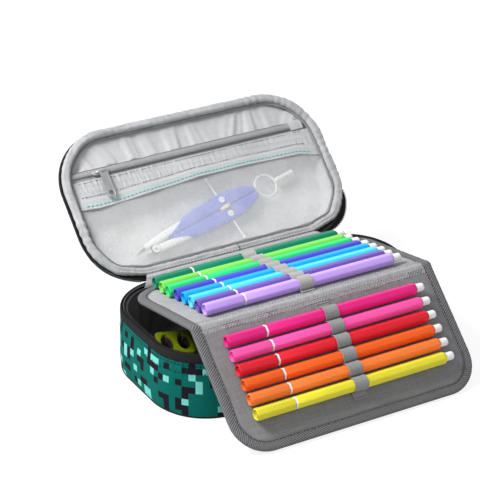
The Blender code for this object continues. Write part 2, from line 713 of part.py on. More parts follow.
def make_compasses(hinge):
    tool = frame("compasses", hinge, (COMPASS_TIP_X, COMPASS_TIP_Y, COMPASS_Z), (0, 0, COMPASS_TURN))
    reach = COMPASS_BODY_END - COMPASS_LEG_END
    leaf = [(COMPASS_LEG_END + along * reach, across * COMPASS_HALF_WIDTH) for along, across in LEAF_SHARES]
    outline = leaf + [(COMPASS_BODY_END, 0)] + [(x, -y) for x, y in leaf[::-1]]
    slot_half = WHEEL_WIDTH / 2 + CLEARANCE
    slit_half = COMPASS_SLIT / 2
    slot_start = SPINDLE_AT - WHEEL_SLOT_LENGTH / 2
    slot_end = SPINDLE_AT + WHEEL_SLOT_LENGTH / 2
    slit_end = slot_end + WHEEL_SLOT_LENGTH
    slot = [
        (slot_start, slot_half),
        (slot_end, slot_half),
        (slot_end, slit_half),
        (slit_end, slit_half),
        (slit_end, -slit_half),
        (slot_end, -slit_half),
        (slot_end, -slot_half),
        (slot_start, -slot_half),
    ]
    half = COMPASS_THICKNESS / 2
    # The slit between the legs opens at their free ends.
    open_slit = [(COMPASS_LEG_END - OVERRUN, slit_half), (slot_start, slit_half)] + slot
    open_slit += [(slot_start, -slit_half), (COMPASS_LEG_END - OVERRUN, -slit_half)]
    legs = as_mesh(plate("compass_legs", [outline], -half, half, BLUE, tool))
    slit = as_mesh(plate("compass_slit", [open_slit], -half - OVERRUN, half + OVERRUN, BLUE, tool))
    combine(legs, slit, "DIFFERENCE")
    bore = add("compass_bore", rod("compass_bore", SPINDLE_RADIUS + CLEARANCE, SPINDLE_LENGTH), BLUE, tool)
    place(bore, tool, (SPINDLE_AT, 0, 0), (math.pi / 2, 0, 0))
    combine(legs, bore, "DIFFERENCE")
    for side in (-1, 1):
        screw_mesh = rod("compass_screw", SCREW_RADIUS, COMPASS_THICKNESS / 2 + SCREW_HEIGHT)
        screw = add("compass_screw", screw_mesh, WHITE)
        lift = COMPASS_THICKNESS / 4 + SCREW_HEIGHT / 2 + SPINDLE_RADIUS + CLEARANCE
        place(screw, tool, (SPINDLE_AT, side * SCREW_OFFSET, lift))
        combine(legs, screw, "UNION")
    needle_length = COMPASS_LEG_END * 2
    needle = add("compass_needle", rod("compass_needle", NEEDLE_RADIUS, needle_length, 8), STEEL)
    lean = math.atan2(COMPASS_HALF_WIDTH / 4, needle_length)
    place(needle, tool, (needle_length / 2, -COMPASS_HALF_WIDTH / 8, 0), (0, math.pi / 2, -lean))
    combine(legs, needle, "UNION")

    spindle = add("compass_spindle", rod("compass_spindle", SPINDLE_RADIUS, SPINDLE_LENGTH), STEEL, tool)
    place(spindle, tool, (SPINDLE_AT, 0, 0), (math.pi / 2, 0, 0))
    wheel = add("compass_wheel", rod("compass_wheel", WHEEL_RADIUS, WHEEL_WIDTH, 20), STEEL)
    place(wheel, tool, (SPINDLE_AT, 0, 0), (math.pi / 2, 0, 0))
    combine(spindle, wheel, "UNION")
    for side in (-1, 1):
        knob = add("compass_knob", rod("compass_knob", SPINDLE_KNOB, 2 * SPINDLE_KNOB), STEEL)
        place(knob, tool, (SPINDLE_AT, side * SPINDLE_LENGTH / 2, 0), (math.pi / 2, 0, 0))
        combine(spindle, knob, "UNION")

    ring_middle = COMPASS_BODY_END + CLEARANCE + RING_WIRE + RING_RADIUS
    circle = arc(ring_middle, 0, RING_RADIUS, math.pi, steps=24, sweep=-2 * math.pi)[:-1]
    ring = as_mesh(cord("compass_ring", circle, RING_WIRE, STEEL, tool, cyclic=True))
    grip = add("compass_grip", rod("compass_grip", GRIP_RADIUS, GRIP_LENGTH), WHITE)
    place(grip, tool, (ring_middle + RING_RADIUS + GRIP_LENGTH / 2, 0, 0), (0, math.pi / 2, 0))
    combine(ring, grip, "UNION")


# Flap

def binding_profile():
    """The U section of the edge binding, which holds the panel between its legs."""
    inside = BINDING_HALF - BINDING
    half = BINDING_HALF
    curve = path_curve(
        "binding_profile",
        [
            [
                (0, half),
                (BINDING_WIDTH, half),
                (BINDING_WIDTH, inside),
                (BINDING, inside),
                (BINDING, -inside),
                (BINDING_WIDTH, -inside),
                (BINDING_WIDTH, -half),
                (0, -half),
            ]
        ],
    )
    guide = bpy.data.objects.new("binding_profile", curve)
    cutters.objects.link(guide)
    guide.hide_render = True
    guide.display_type = "WIRE"
    return guide


def bind(name, path, profile, parent):
    curve = path_curve(name, [path], cyclic=False)
    curve.bevel_mode = "OBJECT"
    curve.bevel_object = profile
    curve.use_fill_caps = True
    return add(name, curve, RIBBED, parent)


def side_turn(gap, radius, foot):
    """How far down a loop comes: to its foot, or to the point where it meets the next loop."""
    if gap > radius:
        return math.asin((foot - PEN_RISE) / radius)
    return math.acos(gap / radius)


def elastic_outline(pens, tabs):
    """An elastic strip over a row of pens, seen along them: tabs on the panel and a loop over each pen."""
    foot = BINDING_HALF
    top = foot + ELASTIC
    gaps = [(far - near) / 2 for near, far in zip(pens, pens[1:])]
    gaps = [PEN_ACROSS] + gaps + [PEN_ACROSS]
    under = []
    over = []
    for middle, before, after in zip(pens, gaps, gaps[1:]):
        start = math.pi - side_turn(before, LOOP_INNER, foot)
        stop = side_turn(after, LOOP_INNER, foot)
        under += arc(middle, PEN_RISE, LOOP_INNER, start, LOOP_STEPS, stop - start)
        start = math.pi - side_turn(before, LOOP_OUTER, top)
        stop = side_turn(after, LOOP_OUTER, top)
        over += arc(middle, PEN_RISE, LOOP_OUTER, start, LOOP_STEPS, stop - start)
    near = (pens[0] - LOOP_OUTER - tabs[0], pens[-1] + LOOP_OUTER + tabs[1])
    under = [(near[0], foot)] + under + [(near[1], foot)]
    over = [(near[0], top)] + over + [(near[1], top)]
    return over + under[::-1]


def hexagon(across, x, corner_share=PEN_CORNER_SHARE):
    """A hexagon across X with each corner cut off, as twelve points."""
    reach = across / 2 / math.cos(math.pi / 6)
    corners = [
        (reach * math.cos(turn), reach * math.sin(turn))
        for turn in (math.pi / 3 * step for step in range(6))
    ]
    points = []
    for step, corner in enumerate(corners):
        for other in (corners[step - 1], corners[(step + 1) % 6]):
            points.append(tuple(c + (o - c) * corner_share for c, o in zip(corner, other)))
    return [(x, y, z) for y, z in points]


def circle_like(radius, x):
    """A circle across X whose twelve points stand in line with the hexagon's."""
    points = []
    for _, y, z in hexagon(radius, x):
        size = radius / math.hypot(y, z)
        points.append((x, y * size, z * size))
    return points


def make_pen(name, colour, flap, x, y):
    """A fibre pen and its cap, lying along X on a panel with the cap to the left."""
    plastic = finish(name + "_plastic", colour, PLASTIC_ROUGHNESS)
    slide = frame(name + "_slide", flap, (x, y, PEN_RISE))
    mouth = CAP_LENGTH + CLEARANCE
    body = mouth + RING_WIDTH
    shoulder = PEN_LENGTH - PLUG_LENGTH - SHOULDER
    plug = PEN_LENGTH - PLUG_LENGTH
    neck = PEN_HALF - CAP_WALL - CLEARANCE
    collar = PEN_ACROSS - 2 * RING_STEP
    shoulder_across = PEN_ACROSS - SHOULDER
    barrel = [
        circle_like(NIB_RADIUS / 2, NIB_START),
        circle_like(NIB_RADIUS, NIB_START + NIB_RADIUS),
        circle_like(NIB_RADIUS, NOSE_START),
        circle_like(NOSE_RADIUS, NOSE_START),
        circle_like(neck, NECK_START),
        circle_like(neck, mouth),
        hexagon(collar, mouth),
        hexagon(collar, body),
        hexagon(PEN_ACROSS, body),
        hexagon(PEN_ACROSS, shoulder),
        hexagon(shoulder_across, plug),
        circle_like(PLUG_RADIUS, plug),
        circle_like(PLUG_RADIUS, PEN_LENGTH - PLUG_ROUND),
        circle_like(PLUG_RADIUS - PLUG_ROUND, PEN_LENGTH),
    ]
    loft("pen_" + name, barrel, plastic, slide)
    pull = frame(name + "_cap_slide", slide, (0, 0, 0))
    bore = PEN_HALF - CAP_WALL
    recess = PEN_HALF - RECESS_WALL
    cap = [
        circle_like(bore, RECESS_DEPTH + CAP_FLOOR),
        circle_like(bore, CAP_LENGTH),
        hexagon(PEN_ACROSS, CAP_LENGTH),
        hexagon(PEN_ACROSS, CAP_CHAMFER),
        hexagon(PEN_ACROSS - CAP_CHAMFER, 0),
        circle_like(recess, 0),
        circle_like(recess, RECESS_DEPTH),
    ]
    loft("cap_" + name, cap, plastic, pull)


def make_flap():
    root = frame("flap_root_axis", None, (FLAP_OFFSET, ROOT_Y, ROOT_Z), (-UPPER_RISE, 0, 0))
    fold = frame("flap_fold_axis", root, (0, -UPPER_LENGTH, 0), (UPPER_RISE + LOWER_FALL, 0, 0))
    profile = binding_profile()
    panel_inset = BINDING + CLEARANCE

    upper = tongue(FOLD_REACH - UPPER_LENGTH, -ROOT_REACH, REAR_CORNER)
    plate_path = tongue(FOLD_REACH - UPPER_LENGTH, -ROOT_REACH, REAR_CORNER, panel_inset)
    plate("flap_upper_panel", [plate_path], -PANEL_HALF, PANEL_HALF, GREY, root)
    bind("flap_upper_binding", upper[::-1], profile, root)

    lower = tongue(-FOLD_REACH, -LOWER_LENGTH, LOWER_CORNER)
    plate_path = tongue(-FOLD_REACH, -LOWER_LENGTH, LOWER_CORNER, panel_inset)
    plate("flap_lower_panel", [plate_path], -PANEL_HALF, PANEL_HALF, GREY, fold)
    bind("flap_lower_binding", lower, profile, fold)

    bead_edge = FLAP_WIDTH / 2 - CLEARANCE
    bead = cord("flap_fold_strip", [(-bead_edge, 0), (bead_edge, 0)], FOLD_BEAD, RIBBED, root)
    bead.location.y = -UPPER_LENGTH
    return root, fold


def make_root_tape():
    """The tape that carries the flap: a bead on its axis, and a strip down the tub's lining."""
    seat = HALF_DEPTH - LINING_INSET - LINING - CLEARANCE
    bottom = LINING_TOP - ROOT_TAPE_DROP
    neck = math.asin(ROOT_TAPE / 2 / FLAP_BEAD)
    lean = math.atan2(-(ROOT_Z - LINING_TOP), seat - ROOT_Y)
    bead = arc(ROOT_Y, ROOT_Z, FLAP_BEAD, lean + neck, sweep=2 * math.pi - 2 * neck)
    outline = [(seat, LINING_TOP + ROOT_TAPE)] + bead
    outline += [(seat - ROOT_TAPE, LINING_TOP), (seat - ROOT_TAPE, bottom), (seat, bottom)]
    half = REAR_STRAIGHT - ROOT_TAPE_SIDE_ROOM
    extrusion("flap_root_tape", outline, -half, half, RIBBED)


def row(length, shares):
    """Places down a panel, from each pen's share of the panel's length."""
    return [-length * share for share in shares]


def make_pens(root, fold):
    upper = row(UPPER_LENGTH, UPPER_PEN_SHARES)
    lower = row(LOWER_LENGTH, LOWER_PEN_SHARES)
    upper_start = UPPER_PENS_INSET - FLAP_WIDTH / 2
    lower_start = LOWER_PENS_INSET - FLAP_WIDTH / 2
    for (name, colour), y in zip(UPPER_PENS, upper):
        make_pen(name, colour, root, upper_start, y)
    for (name, colour), y in zip(LOWER_PENS, lower):
        make_pen(name, colour, fold, lower_start, y)
    strips = (
        ("flap_upper_elastic", upper, upper_start + UPPER_ELASTIC_AT, (ELASTIC_SHORT_TAB, 0), root),
        ("flap_lower_elastic", lower, lower_start + LOWER_ELASTIC_AT, (ELASTIC_TAB, ELASTIC_TAB), fold),
    )
    for name, places, middle, tabs, parent in strips:
        outline = elastic_outline(sorted(places), tabs)
        start = middle - ELASTIC_WIDTH / 2
        extrusion(name, outline, start, start + ELASTIC_WIDTH, ELASTIC_GREY, parent)


make_tub()
make_hinge_strip()
make_sharpener()
lid_hinge = frame("lid_hinge_axis", None, (0, HINGE_Y, HINGE_Z), (LID_LEAN, 0, 0))
make_lid(lid_hinge)
make_pocket(lid_hinge)
make_pocket_slider(lid_hinge)
make_compasses(lid_hinge)
make_main_slider()
flap_root, flap_fold = make_flap()
make_root_tape()
make_pens(flap_root, flap_fold)
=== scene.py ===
"""Pencil pouch, standing open: how its sewn, moulded and metal pieces look.

Every shape is worked out in millimetres on the leaf that carries it, which is the tub,
the lid or one of the flap's two leaves, and is carried from there to the object's own
frame in metres. Grids are whole arrays: face (i, j) of a grid faces the way of the step
along a row crossed with the step down a column.
"""

import math

import bpy
import numpy as np
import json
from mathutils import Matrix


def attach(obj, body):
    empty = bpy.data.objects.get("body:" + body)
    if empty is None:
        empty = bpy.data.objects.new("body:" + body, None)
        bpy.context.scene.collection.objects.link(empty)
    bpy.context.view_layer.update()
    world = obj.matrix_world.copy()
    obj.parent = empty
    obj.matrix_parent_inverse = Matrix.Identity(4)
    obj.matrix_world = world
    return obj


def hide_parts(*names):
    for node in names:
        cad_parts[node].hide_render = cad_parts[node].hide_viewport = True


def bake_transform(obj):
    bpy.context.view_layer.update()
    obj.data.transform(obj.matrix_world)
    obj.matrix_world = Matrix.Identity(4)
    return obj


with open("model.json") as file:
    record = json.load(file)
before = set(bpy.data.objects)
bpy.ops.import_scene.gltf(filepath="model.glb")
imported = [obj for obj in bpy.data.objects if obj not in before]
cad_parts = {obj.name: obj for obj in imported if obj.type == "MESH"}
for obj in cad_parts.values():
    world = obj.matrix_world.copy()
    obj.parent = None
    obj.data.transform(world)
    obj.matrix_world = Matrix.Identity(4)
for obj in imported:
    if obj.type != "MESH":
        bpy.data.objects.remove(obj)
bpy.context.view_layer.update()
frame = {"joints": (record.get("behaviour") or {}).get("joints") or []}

joint_places = {joint["name"]: joint.get("pos_m") for joint in frame["joints"]}

# Leaves and outlines, in millimetres and radians

MM = 0.001
LID_LEAN = math.radians(43.2)
LOWER_FALL = math.radians(42.7)
FLAP_OFFSET = 0.0012
FLAP_HALF = 94.3
FOOT_GAP = 0.0003
FOOT_HALF = 0.0017


class Leaf:
    """A flat carrier that leans about X: the tub, the lid or one part of the flap."""

    def __init__(self, origin, lean):
        self.origin = np.array(origin, float)
        self.lean = lean

    def carry(self, x, y, z):
        """(x, y cos a - z sin a, y sin a + z cos a) in metres, plus the hinge line's place."""
        x, y, z = np.broadcast_arrays(x, y, z)
        cos = math.cos(self.lean)
        sin = math.sin(self.lean)
        turned = np.stack([x, y * cos - z * sin, y * sin + z * cos], -1)
        return turned * MM + self.origin

    def direct(self, x, y, z):
        """A direction on the leaf, turned as a place is but not moved."""
        return (self.carry(x, y, z) - self.origin) / MM


root = joint_places["flap_root_hinge"]
fold = joint_places["flap_fold_hinge"]
hinge = joint_places["lid_hinge"]
upper_rise = math.atan2(fold[2] - root[2], root[1] - fold[1])
upper_length = math.hypot(fold[2] - root[2], root[1] - fold[1]) / MM
lower_length = (fold[2] - FOOT_GAP - FOOT_HALF * math.cos(LOWER_FALL)) / math.sin(LOWER_FALL) / MM

TUB = Leaf((0, 0, 0), 0.0)
LID = Leaf((0, hinge[1], hinge[2]), LID_LEAN)
UPPER = Leaf((FLAP_OFFSET, root[1], root[2]), -upper_rise)
LOWER = Leaf((FLAP_OFFSET, fold[1], fold[2]), LOWER_FALL)


class Outline:
    """Straight sides and round corners on a leaf. Each stretch has its length, and each of its
    ends has a corner's centre and a turn from the leaf's own Y."""

    def __init__(self, leaf, spans, turns, across, deep, radius, centre, way):
        self.leaf = leaf
        self.marks = np.cumsum(spans)
        self.length = self.marks[-1]
        self.turns = np.radians(turns)
        self.across = np.array(across)
        self.deep = way * np.array(deep)
        self.radius = radius
        self.centre = centre
        self.way = way
        self.closed = turns[-1] == 360

    def wrapped(self, run):
        """The run brought into one time round, where the outline closes on itself."""
        return np.mod(run, self.length) if self.closed else run

    def outward(self, run):
        """(sin t, way cos t), where t is the turn at that run."""
        turn = np.interp(self.wrapped(run), self.marks, self.turns)
        return np.sin(turn), self.way * np.cos(turn)

    def along(self, run):
        """The outward direction turned a quarter, the way that the run goes."""
        out_x, out_y = self.outward(run)
        return self.way * out_y, -self.way * out_x

    def at(self, run, inset=0.0, share=1.0):
        """The corner's centre at that run, plus (radius - inset) along (sin t, way cos t), all
        drawn in towards the middle by a share."""
        out_x, out_y = self.outward(run)
        run = self.wrapped(run)
        reach = self.radius - inset
        x = np.interp(run, self.marks, self.across) + reach * out_x
        y = np.interp(run, self.marks, self.deep) + reach * out_y
        return share * x, self.centre + share * y

    def lay(self, run, inset, level, share=1.0):
        """Places round the outline, from arrays of run, inset and level that fit each other."""
        x, y = self.at(run, inset, share)
        return self.leaf.carry(x, y, level)

    def half_width(self, level, inset):
        """Half the outline's width at a place up the leaf, once it is drawn in by the inset."""
        reach = self.radius - inset
        beyond = np.maximum(np.abs(level - self.centre) - np.abs(self.deep).max(), 0)
        return self.across[1] + np.sqrt(np.maximum(reach**2 - beyond**2, 0.01))


def round_box(leaf, length, depth, radius, centre=0.0, way=1):
    """A round cornered rectangle, run from the middle of one long side."""
    half_x = length / 2 - radius
    half_y = depth / 2 - radius
    bend = math.pi / 2 * radius
    side = 2 * half_y
    spans = [0, half_x, bend, side, bend, 2 * half_x, bend, side, bend, half_x]
    across = half_x * np.array([0, 1, 1, 1, 1, -1, -1, -1, -1, 0])
    deep = half_y * np.array([1, 1, 1, -1, -1, -1, -1, 1, 1, 1])
    turns = [0, 0, 90, 90, 180, 180, 270, 270, 360, 360]
    return Outline(leaf, spans, turns, across, deep, radius, centre, way)


def tongue(leaf, start, end, radius):
    """Three sides of a flap leaf with round far corners, run from its right side's near end."""
    way = math.copysign(1, start - end)
    half = FLAP_HALF - radius
    bend = math.pi / 2 * radius
    side = abs(end - start) - radius
    spans = [0, side, bend, 2 * half, bend, side]
    across = half * np.array([1, 1, 1, -1, -1, -1])
    deep = -side * np.array([0, 1, 1, 1, 1, 0])
    return Outline(leaf, spans, [90, 90, 180, 180, 270, 270], across, deep, radius, start, way)


TUB_SIZE = (215, 116)
TUB_CORNER = 40
LID_SIZE = (213, 117)
LID_CORNER = 42
LID_CENTRE = 58.8
TUB_LOOP = round_box(TUB, *TUB_SIZE, TUB_CORNER)
LID_LOOP = round_box(LID, *LID_SIZE, LID_CORNER, LID_CENTRE, -1)
TUB_ROUND = TUB_LOOP.length
LID_ROUND = LID_LOOP.length


# Waves that stand in for slack cloth

RIPPLES = 7
RIPPLE_SUM = 2.6
CRUMPLES = 9
CRUMPLE_RANGE = (0.6, 1.6)


def ripple(where, length, waves, seed):
    """The sum of sine waves with whole numbers of crests in a length and scattered phases, over
    about the square root of their number, so that its size stays near 1."""
    draw = np.random.default_rng(seed)
    counts = draw.integers(waves[0], waves[1] + 1, RIPPLES)
    phases = draw.uniform(0, 2 * np.pi, RIPPLES)
    turns = 2 * np.pi * np.asarray(where, float)[..., None] * counts / length + phases
    return np.sin(turns).sum(-1) / RIPPLE_SUM


def crumple(x, y, pitch, seed):
    """The sum of sine waves that run in scattered directions over a plane, over the square root
    of their number."""
    draw = np.random.default_rng(seed)
    turn = draw.uniform(0, 2 * np.pi, CRUMPLES)
    number = 2 * np.pi / (pitch * draw.uniform(*CRUMPLE_RANGE, CRUMPLES))
    phase = draw.uniform(0, 2 * np.pi, CRUMPLES)
    x, y = np.broadcast_arrays(x, y)
    waves = np.sin(x[..., None] * np.cos(turn) * number + y[..., None] * np.sin(turn) * number + phase)
    return waves.sum(-1) / math.sqrt(CRUMPLES)


def hump(where, centre, width):
    """A bell: 1 at the centre, falling as the square of the distance over the width."""
    return np.exp(-(((where - centre) / width) ** 2))


def ease(where, start, end):
    """0 before start, 1 after end, and a smooth cubic between them."""
    share = np.clip((where - start) / (end - start), 0, 1)
    return share * share * (3 - 2 * share)


def arch(share):
    """Half a sine wave over shares from 0 to 1."""
    return np.sin(np.pi * share)


def row(*values):
    """Values as a row, to be combined with a column."""
    return np.array(values, float)[None]


def abreast(half, count):
    """Even steps from one side to the other of the middle, as a row."""
    return half * np.linspace(-1, 1, count)[None]


def spread(low, high, count):
    """Even steps as a column, to be combined with a row."""
    return np.linspace(low, high, count)[:, None]


def circle(sides):
    """Angles all the way round, whose last one is the first one again."""
    turn = np.linspace(0, 2 * np.pi, sides + 1)
    turn[-1] = 0
    return turn


# Making meshes

# Corners weld in cells of a micrometre, whose edges lie off the round sizes
CELL = 1e6
CELL_START = 0.37
KEY_BITS = 21
NOWHERE = 1e-12

# A thread's rings: how far along it, as shares of its half length, and how big
THREAD_SHARES = np.array([-1.0, -0.8, -0.3, 0.3, 0.8, 1.0])
THREAD_SIZES = np.array([0.0, 0.62, 1.0, 1.0, 0.62, 0.0])
THREAD_SIDES = 6
CORD_SIDES = 12


def plan_of(x, y):
    """Two lengths in millimetres as a place on the cloth's flat cut, in metres."""
    return np.stack(np.broadcast_arrays(x, y), -1) * MM


def flat_plan(points):
    """Lengths run along the rows and columns of a grid, in metres, as the cloth's flat cut."""
    across = np.cumsum(np.linalg.norm(np.diff(points, axis=-2), axis=-1), -1)
    along = np.cumsum(np.linalg.norm(np.diff(points, axis=-3), axis=-1), -2)
    u = np.concatenate([np.zeros_like(across[..., :1]), across], -1)
    v = np.concatenate([np.zeros_like(along[..., :1, :]), along], -2)
    return np.stack([u, v], -1)


def unit(vectors):
    """Directions of length 1."""
    return vectors / np.maximum(np.linalg.norm(vectors, axis=-1, keepdims=True), NOWHERE)


class Skin:
    """Grids of points gathered into one mesh, whose corners are welded where they meet.
    Places are in metres, and the sizes of tubes and stitches in millimetres."""

    def __init__(self):
        self.quads = []
        self.marks = []

    def add(self, points, plan=None, mark=0, turned=False):
        """Adds one grid or a stack of grids, with the place of each corner on a flat plan."""
        if plan is None:
            plan = flat_plan(points)
        plan = np.broadcast_to(plan, points.shape[:-1] + (2,))
        both = np.concatenate([points, plan], -1)
        near = both[..., :-1, :, :]
        far = both[..., 1:, :, :]
        corners = [near[..., :-1, :], near[..., 1:, :], far[..., 1:, :], far[..., :-1, :]]
        quads = np.stack(corners, -2).reshape(-1, 4, 5)
        self.quads.append(quads[:, ::-1] if turned else quads)
        self.marks.append(np.full(len(quads), mark))
        return self

    def thick(self, outer, inner, plan=None, closed=False, turned=False):
        """Two grids a cloth's thickness apart, closed by strips along their edges."""
        if plan is None:
            plan = flat_plan(outer)
        plan = np.broadcast_to(plan, outer.shape[:-1] + (2,))
        pair = np.stack([outer, inner], -2)
        plans = np.stack([plan, plan], -2)
        self.add(outer, plan, turned=turned)
        self.add(inner, plan, turned=not turned)
        self.add(pair[:, -1], plans[:, -1], turned=turned)
        self.add(pair[:, 0, ::-1], plans[:, 0], turned=turned)
        if not closed:
            self.add(pair[0], plans[0], turned=turned)
            self.add(pair[-1], plans[-1], turned=not turned)
        return self

    def tube(self, path, radius, sides=8, side=(0, 0, 1), flat=1.0, mark=0, closed=False):
        """A round or flattened tube along a path, with both ends closed.

        Each ring is path + radius (n cos a + flat b sin a), where n is the side direction
        made square to the path and b is the path's direction crossed with n."""
        path = np.asarray(path, float)
        run = np.gradient(path, axis=0)
        if closed:
            run[0] = run[-1] = path[1] - path[-2]
        run = unit(run)
        normal = np.broadcast_to(np.asarray(side, float), path.shape)
        normal = unit(normal - (normal * run).sum(-1, keepdims=True) * run)
        binormal = np.cross(run, normal)
        radius = np.broadcast_to(np.asarray(radius, float) * MM, (len(path),))[:, None, None]
        turn = circle(sides)[None, :, None]
        ring = normal[:, None] * np.cos(turn) + flat * binormal[:, None] * np.sin(turn)
        rings = path[:, None] + radius * ring
        if not closed:
            start = np.broadcast_to(path[0], rings[:1].shape)
            end = np.broadcast_to(path[-1], rings[:1].shape)
            rings = np.concatenate([start, rings, end])
        return self.add(rings, mark=mark)

    def stitches(self, places, along, up, length, width, height):
        """Rows of short threads: capsules of a length, lying along the seam, half sunk in it."""
        share = THREAD_SHARES[:, None, None]
        size = THREAD_SIZES[:, None, None]
        turn = circle(THREAD_SIDES)[None, :, None]
        along = unit(np.broadcast_to(along, places.shape))[:, None, None]
        up = unit(np.broadcast_to(up, places.shape))[:, None, None]
        side = np.cross(up, along)
        spine = places[:, None, None] + along * (share * length * MM / 2)
        ring = side * np.cos(turn) * width * MM / 2 + up * np.sin(turn) * height * MM / 2
        return self.add(spine + ring * size)

    def cord(self, loop, runs, inset, level, wide, high, swell=0.0):
        """A cord round a loop: inset + wide cos a and level + high sin a, all the way round."""
        runs = runs[:, None]
        turn = -loop.way * circle(CORD_SIDES)[None]
        size = 1 + swell
        ring = loop.lay(runs, inset + wide * size * np.cos(turn), level + high * size * np.sin(turn))
        return self.add(ring, plan_of(turn * wide, runs))

    def seam(self, loop, runs, inset, level, lift, *size):
        """A row of threads along a loop, each at a run, standing out along the lift direction."""
        out_x, out_y = loop.outward(runs)
        along = loop.leaf.direct(*loop.along(runs), 0)
        up = loop.leaf.direct(out_x * lift[0], out_y * lift[0], lift[1])
        return self.stitches(loop.lay(runs, inset, level), along, up, *size)

    def mesh(self, name, sharp=40):
        """Welds corners that fall in the same cell of a micrometre and makes the mesh."""
        quads = np.concatenate(self.quads)
        marks = np.concatenate(self.marks)
        cells = np.floor(quads[..., :3] * CELL + CELL_START).astype(np.int64)
        keys = (cells[..., 0] << 2 * KEY_BITS) + (cells[..., 1] << KEY_BITS) + cells[..., 2]
        _, first, index = np.unique(keys.ravel(), return_index=True, return_inverse=True)
        index = index.reshape(-1, 4)
        kept = index != np.roll(index, 1, axis=1)
        whole = kept.sum(1) > 2
        kept[~whole] = False
        counts = kept.sum(1)[whole]
        corners = quads[..., 3:][kept]
        mesh = bpy.data.meshes.new(name)
        mesh.vertices.add(len(first))
        mesh.vertices.foreach_set("co", quads[..., :3].reshape(-1, 3)[first].ravel())
        mesh.loops.add(int(counts.sum()))
        mesh.loops.foreach_set("vertex_index", index[kept].astype(np.int32))
        mesh.polygons.add(len(counts))
        starts = np.concatenate([[0], np.cumsum(counts)[:-1]])
        mesh.polygons.foreach_set("loop_start", starts.astype(np.int32))
        mesh.polygons.foreach_set("material_index", marks[whole].astype(np.int32))
        plan = mesh.uv_layers.new(name="plan")
        plan.data.foreach_set("uv", corners.ravel().astype(np.float32))
        mesh.update(calc_edges=True)
        mesh.validate()
        mesh.shade_smooth()
        mesh.set_sharp_from_angle(angle=math.radians(sharp))
        return mesh


def slab(leaf, x, y, front, back, plan=None, closed=False):
    """Cloth on a leaf, from its front and back heights over the same places."""
    if plan is None:
        plan = plan_of(x, y)
    return Skin().thick(leaf.carry(x, y, front), leaf.carry(x, y, back), plan, closed)


def link(name, data):
    """An object of that name in the scene."""
    made = bpy.data.objects.new(name, data)
    bpy.context.scene.collection.objects.link(made)
    return made


def place(name, skin, materials, body, stands_for=(), sharp=40):
    """Makes the piece, puts it under the body that carries it, or bakes it in place where it spans a joint,
    and hides the solids it stands for.
    """
    mesh = skin if isinstance(skin, bpy.types.Mesh) else skin.mesh(name, sharp)
    piece = link(name, mesh)
    marks = np.zeros(len(mesh.polygons), np.int32)
    mesh.polygons.foreach_get("material_index", marks)
    for material in materials:
        mesh.materials.append(material)
    mesh.polygons.foreach_set("material_index", marks)
    if isinstance(body, str):
        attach(piece, body)
    else:
        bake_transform(piece)
    if stands_for:
        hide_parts(*stands_for)
    return piece


# Shader graphs

PRINT_GROUND = (0, 104, 95)
PRINT_DARK = (26, 24, 36)
PRINT_LIGHT = (124, 214, 204)
LINT = (226, 224, 220)


def tone(*colour):
    """Display values from 0 to 255, as the linear values that a shader takes."""
    value = np.array(colour) / 255
    value = np.where(value > 0.04045, ((value + 0.055) / 1.055) ** 2.4, value / 12.92)
    return (*value.tolist(), 1.0)


class Graph:
    """Adds nodes to a shader tree. An input is given as a number, a colour or another output."""

    def __init__(self, tree):
        self.tree = tree

    def feed(self, node, **inputs):
        """Gives a node's inputs their values, with an underscore for each blank in a name."""
        for name, value in inputs.items():
            self.put(node, name.replace("_", " "), value)

    def put(self, node, name, value):
        """Links an output to the input, or stores a plain value in it."""
        if isinstance(value, bpy.types.NodeSocket):
            self.tree.links.new(value, node.inputs[name])
        else:
            node.inputs[name].default_value = value

    def node(self, kind, inputs=None, **settings):
        """A node of that kind, with its settings and then its inputs."""
        made = self.tree.nodes.new("ShaderNode" + kind)
        for name, value in settings.items():
            setattr(made, name, value)
        for name, value in (inputs or {}).items():
            self.put(made, name, value)
        return made

    def math(self, operation, *values):
        """The result of one operation on its values, in their order."""
        return self.node("Math", dict(enumerate(values)), operation=operation).outputs[0]

    def times(self, vector, value):
        """The vector times one number."""
        return self.node("VectorMath", {0: vector, "Scale": value}, operation="SCALE").outputs[0]

    def parts(self, vector):
        """The vector's X, Y and Z."""
        return self.node("SeparateXYZ", {0: vector}).outputs

    def wave(self, part, turn):
        """The sine of a part times the turn in each metre."""
        return self.math("SINE", self.math("MULTIPLY", part, turn))

    def scale(self, vector, x, y, z=1.0):
        """The vector with each part multiplied."""
        return self.node("Mapping", {"Vector": vector, "Scale": (x, y, z)}).outputs["Vector"]

    def noise(self, vector, size, detail=3.0, rough=0.5):
        """Cloudy noise whose lumps are about that size in metres."""
        settings = {"Vector": vector, "Scale": 1 / size, "Detail": detail, "Roughness": rough}
        return self.node("TexNoise", settings).outputs["Fac"]

    def mix(self, share, first, second):
        """The first colour at a share of 0, the second at 1."""
        return self.node("Mix", {0: share, 6: first, 7: second}, data_type="RGBA").outputs[2]

    def level(self, value, low, high, to_low=0.0, to_high=1.0):
        """The value carried in a straight line from one range to another."""
        names = {"Value": value, "From Min": low, "From Max": high, "To Min": to_low, "To Max": to_high}
        return self.node("MapRange", names).outputs["Result"]

    def use(self, tree, **inputs):
        """The outputs of a node group with those inputs."""
        return self.node("Group", inputs, node_tree=tree).outputs


def make_group(name, inputs, outputs, build):
    """A node group whose build function gives an output for each name."""
    tree = bpy.data.node_groups.new(name, "ShaderNodeTree")
    for label, value in inputs.items():
        kind = "NodeSocketVector" if value is None else "NodeSocketFloat"
        made = tree.interface.new_socket(label, in_out="INPUT", socket_type=kind)
        if value is not None:
            made.default_value = value
    for label in outputs:
        tree.interface.new_socket(label, in_out="OUTPUT", socket_type="NodeSocketFloat")
    first = tree.nodes.new("NodeGroupInput")
    last = tree.nodes.new("NodeGroupOutput")
    for label, value in zip(outputs, build(Graph(tree), first.outputs)):
        tree.links.new(value, last.inputs[label])
    return tree


